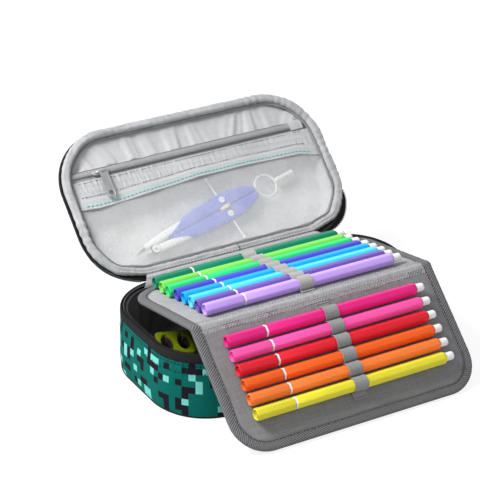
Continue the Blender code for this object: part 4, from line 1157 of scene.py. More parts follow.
def make_zip_flap():
    """The fold of cloth over the pocket's zip, a rounded ridge, and the patch at the zip's end."""
    rows = spread(0, 1, 25)
    x = np.linspace(-95.5, 85.5, 161)[None]
    y = zip_line(x) + 0.2 + rows * 4.8
    z = -4.5 + arch(rows**0.6) ** 0.7 + 0.12 * crumple(x, y, 12, 54) - 0.5 * hump(rows, 0.93, 0.05)
    roll = place("pocket_zip_flap", slab(LID, x, y, z, z - 0.5), [flap_roll_cloth], "lid")

    x = np.linspace(84.6, 95.4, 25)[None]
    y = zip_line(x) - 1.9 + rows * 7.4
    z = -3.9 + 0.5 * arch(rows) ** 0.4 + 0.12 * crumple(x, y, 12, 54)
    end = place("pocket_zip_end", slab(LID, x, y, z, z - 0.5), [hem_cloth], "lid")


def make_pocket_zip():
    """A tape with a coil down its middle, half hidden under the zip flap."""
    x = abreast(96, 161)
    skin = slab(LID, x, zip_line(x) - 3.8 + spread(0, 6.9, 9), -5.0, -5.4)
    x = np.linspace(-78, 86, FINE_TURNS * COIL_STEPS + 1)
    turn = np.linspace(0, 2 * np.pi * FINE_TURNS, len(x))
    wire_y = zip_line(x) + FINE_WIDE * np.cos(turn)
    wire = LID.carry(x, wire_y, COIL_LEVEL + FINE_HIGH * np.sin(turn))
    wound(skin, LID, LID.carry(x, zip_line(x), COIL_LEVEL), wire, FINE_WIRE, 1)
    looks = [flap_roll_cloth, zip_grey]
    place("pocket_zip_teeth", skin, looks, "lid", ["pocket_zip"], sharp=60)


def make_header():
    """The gathered panel above the zip: folds that start at its seam and fan out to the rim."""
    rows = spread(0, 1, 41)
    y = HEADER_FOOT + rows * HEADER_RISE
    x = across_pocket(y, 5.2, 261)
    fan = x * (1 - 0.10 * rows) + 5 * rows * ripple(x, POCKET_WIDTH, (2, 4), 61)
    folds = ripple(fan, POCKET_WIDTH, (7, 13), 62) + 0.24 * ripple(fan, POCKET_WIDTH, (20, 30), 63)
    size = 0.62 * (1 - 0.6 * rows) * ease(rows, 0.0, 0.06)
    z = -4.9 + size * np.maximum(folds, -1.0) - 0.4 * arch(rows) - 2.5 * hump(x, -88, 5) * hump(y, 95, 4)
    skin = slab(LID, x, y, z + 0.25, z - 0.25)
    header = place("pocket_header", skin, [header_cloth], "lid", ["pocket_top_panel"])


def place_threads(name, look, x, y, z, length, width, slant=0.0):
    """A row of threads over the pocket, along a row of X that may lean."""
    along = LID.direct(math.cos(slant), np.gradient(y, x) + math.sin(slant), 0)
    skin = Skin().stitches(LID.carry(x, y, z), along, LID_OUT, length, width, width)
    place(name, skin, [look], "lid")


def make_pocket_seams():
    """Running stitches of the hem, its fold, the zip flap and the band's two rows."""
    x = np.arange(-91.0, 92.0, 3.2)
    y = hem_line(x) + 2.6
    z = -4.05 + 0.3 * crumple(x, y, *BAND_WAVE)
    place_threads("pocket_hem_stitches", turquoise_thread, x, y, z, 2.2, 0.95)
    x = np.arange(-92.0, 93.0, 1.7)
    y = hem_line(x) + 0.7
    z = -4.15 + 0.3 * crumple(x, y, *BAND_WAVE)
    place_threads("pocket_edge_stitches", pale_thread, x, y, z, 1.5, 0.5, 0.8)
    x = np.arange(-93.0, 83.0, 2.3)
    place_threads("pocket_flap_stitches", grey_thread, x, zip_line(x) + 4.5, -3.95, 1.6, 0.5)
    x = np.arange(-92.0, 92.0, 2.3)
    for letter, share, shift in (("a", 0.44, 0.0), ("b", 0.93, 0.7)):
        y = band_line(x, share)
        z = -4.55 + 0.3 * crumple(x, y, *BAND_WAVE) + 0.22 * crumple(x * 1.6, y, *RUFFLE_WAVE)
        place_threads("pocket_band_stitches_" + letter, grey_thread, x + shift, y, z, 1.5, 0.55)


def make_pocket():
    make_net()
    make_hem_band()
    make_zip_flap()
    make_pocket_zip()
    make_header()
    make_pocket_seams()


SLIDER_X = -72.6
SLIDER_Y = 87.3


def blunt(share, least=0.05):
    """The fullness along a cast bar from -1 to 1, blunt at its ends."""
    return np.sqrt(np.maximum(1 - np.abs(share) ** 6, least))


def make_pocket_slider():
    """A cast slider: two plates and a bridge over them, with the pull looped through it."""
    skin = Skin()
    share = np.linspace(-1, 1, 33)
    half = 1.9 + 0.6 * ease(share, -0.6, 0.7)
    for level, size in ((-3.2, 1.0), (-5.6, 0.95)):
        path = LID.carry(SLIDER_X + 6.4 * share, SLIDER_Y, level)
        skin.tube(path, half * size * blunt(share), 20, LID.direct(0, 1, 0), 0.26)
    turn = np.linspace(0, np.pi, 17)
    path = LID.carry(SLIDER_X + 4.2 * np.cos(turn), SLIDER_Y, -3.0 + 2.3 * np.sin(turn) ** 0.7)
    skin.tube(path, 0.75, 12, LID.direct(0, 1, 0), 0.7)
    place("zip_slider_body", skin, [steel], "pocket_slider", ["pocket_slider"])


PULL_THICKNESS = 1.2

# A pull's length, its width and its hole's radius
POCKET_PULL = (21.0, 6.4, 1.75)
CASE_PULL = (23.8, 6.9, 1.7)
POCKET_PULL_TILT = math.radians(2)
CASE_PULL_TURN = math.radians(22)

# The middle of the tub's rear right corner, in metres
CASE_CORNER = np.array([0.0675, 0.018, 0.0])


def tab(middle, across, down, up, length, width, hole):
    """A flat pull: a rounded tab with raised edges and a round hole near its foot."""
    outline = round_box(TUB, width, length, width * 0.42)
    x, y = outline.at(spread(0, outline.length, 97))
    hole_y = -length / 2 + width / 2 + 0.2
    turn = np.arctan2(y - hole_y, x)
    share = row(0.0, 0.03, 0.10, 0.35, 0.62, 0.72, 0.90, 0.97, 1.0)
    height = row(0.55, 0.95, 1.0, 1.0, 1.0, 1.0, 1.0, 0.9, 0.5) * PULL_THICKNESS / 2
    height = (height - 0.2 * PULL_THICKNESS * hump(share, 0.5, 0.22))[..., None]
    inner_x = hole * np.cos(turn)
    inner_y = hole_y + hole * np.sin(turn)
    flat_x = (inner_x + (x - inner_x) * share)[..., None]
    flat_y = (inner_y + (y - inner_y) * share)[..., None]
    flat = flat_x * across + (flat_y - length / 2) * down
    return Skin().thick(middle + (flat + height * up) * MM, middle + (flat - height * up) * MM, closed=True)


def make_pocket_pull():
    """The pocket's pull, hanging down the lid from its slider."""
    cos = math.cos(POCKET_PULL_TILT)
    sin = math.sin(POCKET_PULL_TILT)
    down = LID.direct(0.0, cos, sin)
    up = LID.direct(0.0, -sin, cos)
    skin = tab(LID.carry(-71.2, SLIDER_Y + 0.4, -1.55), LID_ACROSS, down, up, *POCKET_PULL)
    place("zip_pull", skin, [steel], "pocket_pull", ["pocket_pull"], sharp=30)


def make_case_pull():
    """The case's slider at the end of its zip, and its pull, hanging down behind the corner."""
    cos = math.cos(CASE_PULL_TURN)
    sin = math.sin(CASE_PULL_TURN)
    out = np.array([sin, cos, 0.0])
    side = np.array([cos, -sin, 0.0])
    upright = np.array([0, 0, 1.0])
    skin = tab(CASE_CORNER + out * 0.0420 + upright * 0.0472, -side, upright, out, *CASE_PULL)
    place("case_zip_pull", skin, [dark_metal], "main_pull", ["main_pull"], sharp=30)

    share = np.linspace(-1, 1, 25)
    length = share[:, None] * 0.0050 * side
    path = CASE_CORNER + out * 0.0388 + length + upright * 0.0481
    skin = Skin().tube(path, 3.3 * blunt(share), 20, out, 0.22)
    path = CASE_CORNER + out * 0.0411 + length * 0.9 + upright * 0.0465
    skin.tube(path, 2.1 * blunt(share), 16, (0, 0, 1), 0.2)
    place("case_zip_slider", skin, [dark_metal], "tub", ["main_slider"])


# Pair of compasses

COMPASS_TURN = math.radians(13.4)
COMPASS_FOOT = (-67.5, 22.3, -10.8)
ROD_AT = 82.4
RING_AT = 121.6
RING_SIZE = 8.6
ROD_HALF = 25.5
ROD_RADIUS = 0.68
BALL_RADIUS = 1.4


def on_compass(u, v, w):
    """Places from the compass's own length u, width v and height w, turned on the lid."""
    cos = math.cos(COMPASS_TURN)
    sin = math.sin(COMPASS_TURN)
    x, y, z = COMPASS_FOOT
    return LID.carry(x + u * cos - v * sin, y + u * sin + v * cos, z + w)


def compass_bar(skin, u, centre, half, deep, mark, power=0.45):
    """A moulded bar: squared ovals |cos|^p and |sin|^p across, from one end to the other."""
    turn = circle(28)[None]
    wave = np.sign(np.cos(turn)) * np.abs(np.cos(turn)) ** power
    rise = np.sign(np.sin(turn)) * np.abs(np.sin(turn)) ** power
    u = np.concatenate([u[:1], u, u[-1:]])[:, None]
    centre = np.concatenate([centre[:1], centre, centre[-1:]])[:, None]
    half = np.concatenate([[0], half, [0]])[:, None]
    high = np.concatenate([[0], np.full(len(u) - 2, deep), [0]])[:, None]
    skin.add(on_compass(u + 0 * turn, centre + half * wave, high * rise), mark=mark)


def make_compass_halves():
    """Two moulded halves with a slit between them, pivots, and the lower legs with their points."""
    skin = Skin()
    u = np.linspace(31, 111.5, 49)
    shares = [0.0, 0.05, 0.25, 0.48, 0.68, 0.80, 0.90, 0.97, 1.0]
    widths = [0.50, 0.62, 0.70, 0.90, 1.0, 0.96, 0.78, 0.50, 0.28]
    edge = 11.0 * np.interp((u - 9) / 103, shares, widths)
    edge = edge * (0.10 + 0.90 * ease(u, 26, 52))
    near = 0.14 + 0.80 * ease(u, 74, 77) * (1 - ease(u, 88, 91))
    for side in (-1, 1):
        compass_bar(skin, u, side * (near + edge) / 2, (edge - near) / 2, 2.4, 0)
        head = on_compass(ROD_AT, side * 6.0, np.array([1.0, 3.1]))
        skin.tube(head, 2.3, 18, LID_ACROSS, mark=1)
        slot = on_compass(ROD_AT + np.array([-1.5, 1.5]), side * 6.0, 3.05)
        skin.tube(slot, 0.22, 6, LID_OUT, mark=3)
    for side, start in ((-1, 15.0), (1, 9.0)):
        u = np.linspace(start, 52, 25)
        centre = side * np.interp(u, [9, 20, 34, 50], [2.4, 3.1, 4.2, 5.4])
        half = np.interp(u, [9, 11, 24, 40, 52], [1.6, 2.3, 2.8, 2.6, 2.0])
        compass_bar(skin, u, centre, half, 2.1, 1, 0.6)
    for high, size, mark in (((0.5, 2.9), 3.3, 2), ((0.6, 3.1), 3.0, 1), ((2.8, 3.25), 1.2, 3)):
        skin.tube(on_compass(15.5, -2.6, np.array(high)), size, 24, LID_ACROSS, mark=mark)
    tip = on_compass(np.linspace(11, 0.3, 9), np.linspace(2.2, 0.0, 9), 0.0)
    skin.tube(tip, [1.1, 1.1, 1.0, 0.9, 0.8, 0.6, 0.45, 0.3, 0.12], 12, LID_OUT, mark=2)
    lead = on_compass(np.linspace(17, 8.5, 5), np.linspace(-2.8, -1.4, 5), 0.0)
    skin.tube(lead, [1.2, 1.2, 1.1, 0.8, 0.3], 12, LID_OUT, mark=1)
    looks = [leg_blue, leg_white, tip_grey, steel]
    place("compass_halves", skin, looks, "lid", ["compass_legs"])


def make_compass_rod():
    """A threaded rod with a ball at each end, and the wheel, whose rim is size (1 + 0.035 cos 18a)."""
    skin = Skin()
    rod = on_compass(ROD_AT, np.linspace(-ROD_HALF, ROD_HALF, 33), 0.0)
    skin.tube(rod, ROD_RADIUS * (1 + 0.08 * np.cos(np.arange(33) * np.pi)), 10, LID_OUT, mark=1)
    ball = np.linspace(-1, 1, 13)
    for side in (-1, 1):
        spine = on_compass(ROD_AT, side * 25.8 + BALL_RADIUS * ball, 0.0)
        skin.tube(spine, BALL_RADIUS * np.sqrt(np.maximum(1 - ball**2, 0.01)), 16, LID_OUT, mark=1)
    wide = np.array([-1.3, -1.3, -1.3, -1.1, 1.1, 1.3, 1.3, 1.3])[:, None]
    size = np.array([0, 1.0, 4.2, 4.6, 4.6, 4.2, 1.0, 0])[:, None]
    turn = circle(72)[None]
    size = size * (1 + 0.035 * np.cos(18 * turn) * (size > 4))
    skin.add(on_compass(ROD_AT + size * np.cos(turn), wide, size * np.sin(turn)), turned=True)
    place("compass_screw_rod", skin, [wheel_cream, leg_white], "lid", ["compass_spindle"])


def make_compass_ring():
    """The ring at the head, and the ribbed grip over it."""
    turn = circle(64)
    path = on_compass(RING_AT + RING_SIZE * np.cos(turn), RING_SIZE * np.sin(turn), 0.0)
    skin = Skin().tube(path, 0.7, 10, LID_OUT, closed=True)
    grip = np.linspace(0, 1, 25)
    radius = 1.7 + 0.12 * np.cos(grip * 24 * np.pi)
    radius = radius * np.minimum(1, 0.4 + grip * 6) * np.minimum(1, 0.5 + (1 - grip) * 8)
    skin.tube(on_compass(RING_AT + RING_SIZE + 18 * grip, 0, 0), radius, 16, LID_OUT)
    place("compass_finger_ring", skin, [leg_white], "lid", ["compass_ring"])


# Sharpener

SHARPENER_X = -80.5
SHARPENER_TURN = math.radians(-20)
SHARPENER_SIZE = (25, 31)
SHARPENER_CORNER = 3.0
WELL_AT = 5.6


def on_sharpener(x, y, z):
    """Places from the sharpener's own middle, turned on the tub's floor."""
    cos = math.cos(SHARPENER_TURN)
    sin = math.sin(SHARPENER_TURN)
    return TUB.carry(SHARPENER_X + x * cos - y * sin, x * sin + y * cos, z)


def oval(side, wide, long, deep):
    """A well's rings: wide cos a and long sin a, at each depth."""
    turn = circle(40)[None]
    wide, long, deep = (np.array(part)[:, None] for part in (wide, long, deep))
    return on_sharpener(side * WELL_AT + wide * np.cos(turn), long * np.sin(turn), deep)


def make_sharpener():
    """A clear green box with rounded edges, from which two oval wells are cut."""
    box = round_box(TUB, *SHARPENER_SIZE, SHARPENER_CORNER)
    inset = row(2.9, 2.9, 1.2, 0.5, 0.15, 0.0, 0.0, 0.15, 0.5, 1.2, 2.9, 2.9)
    level = row(4.25, 4.25, 4.25, 4.5, 4.9, 5.6, 28.8, 29.5, 29.9, 30.15, 30.15, 30.15)
    x, y = box.at(spread(0, box.length, 97), inset, row(0, *[1] * 10, 0))
    body = link("box", Skin().add(on_sharpener(x, y, level)).mesh("box"))
    wide = [0, 3.5, 3.7, 3.8, 3.8, 4.0, 4.5, 0]
    long = [0, 10.6, 10.9, 11.0, 11.0, 11.2, 11.7, 0]
    deep = [7.4, 7.4, 8.0, 9.0, 29.2, 29.7, 30.6, 30.6]
    for side in (-1, 1):
        cut = body.modifiers.new("well", "BOOLEAN")
        cut.operation = "DIFFERENCE"
        cut.solver = "EXACT"
        cut.object = link("well", Skin().add(oval(side, wide, long, deep)).mesh("well"))
    graph = bpy.context.evaluated_depsgraph_get()
    mesh = bpy.data.meshes.new_from_object(body.evaluated_get(graph))
    for helper in [body] + [cut.object for cut in body.modifiers]:
        bpy.data.objects.remove(helper)
    mesh.shade_smooth()
    mesh.set_sharp_from_angle(angle=math.radians(35))
    place("sharpener_box", mesh, [sharpener_green], "tub", ["sharpener"])


def make_throats():
    """A dark cup in each well, painted shade that stands in for the dark deep inside it: an oval cup whose
    lip is rounded.
    """
    skin = Skin()
    share = np.array([0, 1, 1, 0.86, 0.80, 0.72, 0.45, 0])
    deep = [8, 8, 28.2, 28.9, 28.3, 19.0, 15.0, 15.0]
    for side in (-1, 1):
        skin.add(oval(side, 3.35 * share, 10.4 * share, deep))
    place("sharpener_throats", skin, [sharpener_well_shade], "tub", sharp=50)


# Flap

# The binding's section: how far in from the edge, how high over the leaf's middle, how thick
BINDING = np.array(
    [
        [7.2, 6.9, 6.0, 4.5, 3.0, 1.6, 0.7, 0.15, 0.0, 0.15, 0.7, 1.6, 3.0, 4.5, 6.0, 6.9, 7.2],
        [1.15, 1.4, 1.25, 1.62, 1.72, 1.68, 1.4, 0.8, 0.0, -0.8, -1.4, -1.66, -1.7, -1.6, -1.3, -1.4, -1.15],
        [0.0, 0.35, 0.5, 0.5, 0.5, 0.5, 0.45, 0.35, 0.0, 0.35, 0.45, 0.5, 0.5, 0.5, 0.5, 0.35, 0.0],
    ]
)
BINDING_STEPS = np.concatenate([[0], np.cumsum(np.hypot(*np.diff(BINDING[:2])))])[None]
BINDING_DEEP = 0.45 * hump(BINDING[0], 0, 1.0)
BINDING_WIDE = 7.2
UPPER_CORNER = 24
LOWER_CORNER = 25.3
FOLD_HALF = 89
FOLD_HEIGHT = 1.22
FOLD_RADIUS = 1.9
FOLD_ANGLE = upper_rise + LOWER_FALL
FOLD_NEAR = FOLD_RADIUS * math.sin(FOLD_ANGLE / 2)


def make_leaves():
    """Two cloth covered leaves, dented along the binding's seam, in their ribbed bindings."""
    # The lower leaf's cloth is the grey cloth painted darker as shade.
    parts = (
        ("upper", UPPER, 2.0 - upper_length, -1.3, UPPER_CORNER, 71, grey_cloth),
        ("lower", LOWER, -2.0, -lower_length, LOWER_CORNER, 72, lower_leaf_painted_shade),
    )
    for name, leaf, start, end, radius, seed, look in parts:
        edge = tongue(leaf, start, end, radius)
        low = min(start, end) + 0.5
        high = max(start, end) - 0.5
        y = spread(low, high, 111)
        x = abreast(edge.half_width(y, 0.8), 201)
        y = y + 0 * x
        soft = 0.16 * crumple(x, y, 22, seed) + 0.05 * crumple(x * 0.3, y, 5, seed + 1)
        soft = soft - 0.25 * hump(np.minimum(FLAP_HALF - np.abs(x), np.abs(y - end)), 7.6, 0.8)
        skin = slab(leaf, x, y, 1.0 + soft, -1.0 + soft * 0.3)
        body = "flap_" + name
        panel = place(body + "_leaf", skin, [look], body, [body + "_panel"])
        make_edge(edge, body, seed)


def make_edge(edge, body, seed):
    """Ribbed binding: a ribbon folded over the leaf's edge, with a seam near its inner edge."""
    run = spread(0, edge.length, 421)
    inward, high, thin = BINDING[:, None]
    sway = 0.22 * ripple(run, edge.length, (5, 15), seed) * np.clip(inward / BINDING_WIDE, 0, 1)
    puff = 0.07 * ripple(run, edge.length, (40, 90), seed + 1) * np.sign(-high)
    outer = edge.lay(run, inward + sway, puff - high)
    inner = edge.lay(run, inward + sway + BINDING_DEEP, puff - high + np.sign(high) * thin)
    skin = Skin().thick(outer, inner, plan_of(BINDING_STEPS, run), turned=edge.way < 0)
    piece = place(body + "_edge", skin, [grey_ribs], body, [body + "_binding"])
    skin = Skin()
    for side in (-1, 1):
        skin.seam(edge, np.arange(1.0, edge.length, 2.6), 6.1, side * 1.36, (0, side), 1.8, 0.8, 0.5)
    place(body + "_edge_stitches", skin, [seam_thread], body)


def over_fold(x, u, height):
    """Places over the fold, a distance u down the flap from it and a height over the leaves'
    middle. Sections across the bend all turn about the crease under it."""
    deep = FOLD_RADIUS * math.cos(FOLD_ANGLE / 2)
    angle = FOLD_ANGLE * np.clip((u + FOLD_NEAR) / (2 * FOLD_NEAR), 0, 1)
    before = np.maximum(-u - FOLD_NEAR, 0)
    after = np.maximum(u - FOLD_NEAR, 0)
    y = FOLD_NEAR + before - (height + deep) * np.sin(angle) - after * np.cos(angle)
    z = -deep + (height + deep) * np.cos(angle) - after * np.sin(angle)
    return UPPER.carry(x, y - upper_length, z)


FOLD_START = UPPER.carry(0, 3.2 - upper_length, 0)
FOLD_END = LOWER.carry(0, -3.2, 0)
FOLD_JOINT = ("flap_upper", "flap_lower", tuple(FOLD_START), tuple(FOLD_END))
FOLD_BEND = np.linspace(-FOLD_NEAR, FOLD_NEAR, 9)


def make_fold():
    """The quilted cloth between the leaves, and its rows of slanting stitches."""
    u = row(-7.0, -6.0, -4.5, -3.0, -1.8, *FOLD_BEND, 1.8, 3.0, 4.5, 6.0, 7.0).T
    x = abreast(FOLD_HALF, 181)
    rise = FOLD_HEIGHT - 0.30 * ease(np.abs(u), 6.0, 7.0) + 0.10 * crumple(x, u * 2, 5, 81)
    quilt = 0.16 * hump(np.abs(u), 3.0, 0.5) + 0.16 * hump(np.abs(u), 6.0, 0.4)
    skin = Skin().thick(over_fold(x, u, rise - quilt), over_fold(x, u, rise - 0.45), turned=True)
    stands_for = ["flap_fold_strip"]
    strip_piece = place("flap_fold_cloth", skin, [grey_cloth], FOLD_JOINT, stands_for)

    skin = Skin()
    for number, u in enumerate((-5.6, -4.2, -2.8, 2.8, 4.2, 5.6)):
        odd = number % 2
        x = np.arange(-88.0, 88.5, 2.2) + 1.1 * odd
        places = over_fold(x, u, FOLD_HEIGHT)
        along = over_fold(x + 1, u + 0.8 - 1.6 * odd, FOLD_HEIGHT) - places
        skin.stitches(places, along, over_fold(x, u, FOLD_HEIGHT + 1) - places, 1.6, 0.7, 0.8)
    place("flap_fold_stitches", skin, [fold_thread], FOLD_JOINT)


def make_fold_edges():
    """The binding's section carried over the fold at both sides, a little fuller in the bend."""
    inward, high, thin = BINDING[:, None]
    u = row(-3.4, -2.4, -1.5, *FOLD_BEND, 1.5, 2.4, 3.4).T
    skin = Skin()
    for side in (-1, 1):
        grown = 0.10 * (1 - ease(np.abs(u), 2.4, 3.4))
        outer = over_fold(side * (FLAP_HALF + grown - inward), u, high + np.sign(high) * grown)
        inner = over_fold(side * (FLAP_HALF - inward - BINDING_DEEP), u, high - np.sign(high) * thin)
        skin.thick(outer, inner, plan_of(BINDING_STEPS, u), turned=side > 0)
    bridge = place("flap_fold_edges", skin, [grey_ribs], FOLD_JOINT)


ROOT_HALF = 66


def make_root():
    """The tape under the flap's root."""
    x = abreast(ROOT_HALF, 121)
    y = row(52.9, 52.9, 52.7, 52.1, 51.2, 50.0, 49.3, 48.6).T + 0.15 * ripple(x, 132, (6, 14), 91)
    z = row(33.5, 37.0, 40.5, 43.2, 44.9, 45.9, 46.1, 46.2).T
    skin = Skin().thick(TUB.carry(x, y, z), TUB.carry(x, y - 0.5, z - 0.45))
    tape = place("flap_root_strip", skin, [grey_ribs], "tub", ["flap_root_tape"])


HINGE_LINE = (58.3, 47.5)


def hinge_path(on_tub, on_lid):
    """A section across X that starts at places in the tub's plane and ends at ones in the lid's."""
    line_y, line_z = HINGE_LINE
    y, z = np.array(on_lid).T
    lid_y = math.cos(LID_LEAN)
    lid_z = math.sin(LID_LEAN)
    turned = np.stack([line_y + y * lid_y - z * lid_z, line_z + y * lid_z + z * lid_y], -1)
    return np.concatenate([on_tub, turned])


SPINE_HALF = 67.2
SPINE_OUT = 0.05
SPINE_IN = 0.40
SPINE_TUB = [[58.5, 34.5], [58.6, 38], [58.55, 42], [58.45, 45.5], [58.3, 46.9], [57.9, 48], [58.3, 48.7]]
SPINE_LID = [[0.9, 0.3], [0.6, -0.5], [0.1, -1.2], [-0.15, -3]]
SPINE_LID += [[-0.2, -5], [-0.2, -7], [-0.15, -9], [0, -10.2]]
GUSSET_TUB = [[52.3, 40], [52.3, 43], [52.5, 44.8], [53.1, 46.2], [54.1, 47.2], [55.4, 47.8], [56.9, 48.4]]
GUSSET_LID = [[1.6, 1.6], [3.0, 0.2], [4.4, -1.6], [5.6, -3.4]]


def make_spine():
    """The black cloth hinge outside: a section carried along X, with slack that ripples on it."""
    x = abreast(SPINE_HALF, 141)
    path = hinge_path(SPINE_TUB, SPINE_LID)
    run = np.gradient(path, axis=0)
    out_y, out_z = unit(np.stack([run[:, 1], -run[:, 0]], -1)).T[..., None]
    y, z = path.T[..., None]
    slack = 0.12 * ripple(x, 134, (8, 20), 92)
    outer = TUB.carry(x, y + out_y * (SPINE_OUT + slack), z + out_z * (SPINE_OUT + slack))
    inner = TUB.carry(x, y - out_y * (SPINE_IN - slack), z - out_z * (SPINE_IN - slack))
    joint = ("tub", "lid", (0, 0.0580, 0.0462), (0, 0.0594, 0.0476))
    skin = Skin().thick(outer, inner, turned=True)
    spine = place("back_spine", skin, [black_tape], joint, ["back_hinge_strip"])


def make_gusset():
    """The grey cloth inside the hinge, carried along X likewise, with its stitches on the roll."""
    path = hinge_path(GUSSET_TUB, GUSSET_LID)
    share = spread(0, 1, len(path))
    x = abreast(79 - 11 * share, 181)
    slack = 0.25 * ripple(x, 144, (9, 24), 93) * arch(share)
    y, z = path.T[..., None]
    y = y - slack
    z = z + slack
    joint = ("tub", "lid", (0, 0.0560, 0.0470), (0, 0.0600, 0.0490))
    skin = Skin().thick(TUB.carry(x, y + 0.3, z - 0.3), TUB.carry(x, y, z), turned=True)
    gusset = place("back_gusset", skin, [grey_cloth], joint)
    places = TUB.carry(np.arange(-70.0, 70.5, 1.7), path[8, 0] - 0.1, path[8, 1] + 0.12)
    skin = Skin().stitches(places, (1.0, 0.5, 0.5), (0.0, -0.6, 0.8), 1.6, 0.7, 0.6)
    place("back_gusset_stitches", skin, [pale_thread], "lid")


# Pens

PEN_COLOURS = {
    "dark_green": (0, 131, 97),
    "lime": (124, 220, 88),
    "emerald": (40, 220, 126),
    "indigo": (72, 76, 202),
    "sky_blue": (0, 170, 245),
    "cyan": (84, 218, 252),
    "dark_purple": (112, 84, 178),
    "lilac": (196, 162, 246),
    "magenta": (226, 28, 126),
    "pink": (250, 84, 168),
    "red": (220, 24, 44),
    "orange": (240, 94, 22),
    "apricot": (250, 124, 50),
    "yellow": (226, 216, 48),
}
UPPER_PENS = list(PEN_COLOURS)[:8]
LOWER_PENS = list(PEN_COLOURS)[8:]
UPPER_SHARES = (0.084, 0.2175, 0.327, 0.4365, 0.546, 0.6555, 0.765, 0.8745)
PUSHED = {"dark_green": 1.8, "lime": 0.5, "indigo": 0.9, "sky_blue": 1.0, "cyan": 0.9}
LOWER_SHARES = (0.175, 0.287, 0.398, 0.510, 0.621, 0.733)
PEN_LEVEL = 6.0
PEN_TURN = circle(48)
PEN_FACES = np.abs(np.cos(PEN_TURN[:, None] - np.radians([30, 90, 150])))
HEXAGON = (PEN_FACES**14).sum(1) ** (-1 / 14)

# Stations along a pen: how far from its start, how big, and how far from a circle to a hexagon
NIB = ((7.2, 0.0, 0), (7.2, 0.35, 0), (7.6, 0.7, 0), (8.2, 0.8, 0), (11.0, 0.8, 0))
NECK = ((11.0, 0.8, 0), (11.0, 1.6, 0), (11.4, 1.8, 0), (17.0, 3.1, 0), (17.6, 3.2, 0), (29.0, 3.2, 0))
COLLAR = ((29.0, 3.2, 0), (29.0, 3.75, 0.9), (29.05, 3.9, 1), (30.0, 3.9, 1), (30.05, 3.9, 1))
COLLAR += ((30.05, 3.85, 1),)
BARREL = ((30.05, 3.85, 1), (30.25, 4.0, 1), (60, 4.0, 1), (100, 4.0, 1), (145.4, 4.0, 1), (146.4, 3.92, 1))
BARREL += ((147.2, 3.65, 1), (147.7, 3.35, 0.9), (147.8, 3.0, 0.4), (147.8, 2.95, 0))
PLUG = ((147.8, 2.95, 0), (147.8, 3.0, 0), (152.8, 2.9, 0), (153.7, 2.75, 0), (154.2, 2.3, 0))
PLUG += ((154.4, 1.7, 0), (154.1, 1.5, 0), (154.1, 0.0, 0))
CAP = ((1.2, 0.0, 0), (1.2, 1.15, 0), (0.55, 1.25, 0), (0.5, 1.75, 0), (1.0, 1.85, 0), (2.3, 1.9, 0))
CAP += ((2.4, 2.1, 0), (2.4, 2.7, 0), (2.2, 2.95, 0.3), (0.4, 3.15, 0.7), (0.08, 3.3, 0.9), (0.0, 3.45, 1))
CAP += ((0.12, 3.7, 1), (0.5, 3.88, 1), (1.2, 4.0, 1), (15, 4.0, 1), (28.0, 4.0, 1), (28.4, 3.95, 1))
CAP += ((28.6, 3.8, 1), (28.6, 3.5, 0), (4.6, 3.4, 0), (4.5, 0.0, 0))


def turned_rings(leaf, start, y, stations):
    """Rings along a pen. A ring's radius is its size times a blend of a circle and a soft
    hexagon, whose radius is the sum of |cos| to the fourteenth over its three axes, to the
    minus fourteenth root."""
    along, size, shape = np.array(stations, float).T[..., None]
    radius = size * (1 - shape + shape * HEXAGON[None])
    return leaf.carry(start + along, y + radius * np.cos(PEN_TURN), PEN_LEVEL + radius * np.sin(PEN_TURN))


def make_pen(name, leaf, start, y):
    """The barrel with its collar, plug and hidden nib, and the cap with a tube in its end."""
    colour = np.array(PEN_COLOURS[name])
    look = plastic(name + " barrel", tone(*colour), 0.42, 0.04)
    cap_look = plastic(name + " cap", tone(*(colour * 0.95)), 0.5, 0.02)
    skin = Skin()
    for stations, mark in ((NIB, 2), (NECK, 1), (COLLAR, 1), (BARREL, 0), (PLUG, 1)):
        skin.add(turned_rings(leaf, start, y, stations), mark=mark)
    looks = [look, plug_white, nib_dark]
    place("fibre_" + name, skin, looks, "pen_" + name, ["pen_" + name], sharp=50)
    skin = Skin().add(turned_rings(leaf, start, y, CAP))
    place("cover_" + name, skin, [cap_look], "cap_" + name, ["cap_" + name], sharp=50)


LOOP_RADIUS = 4.95
LOOP_FOOT = 2.2
LOOP_HALF = 5.2
LOOP_DEEP = 0.26
LEAF_TOP = 2.0


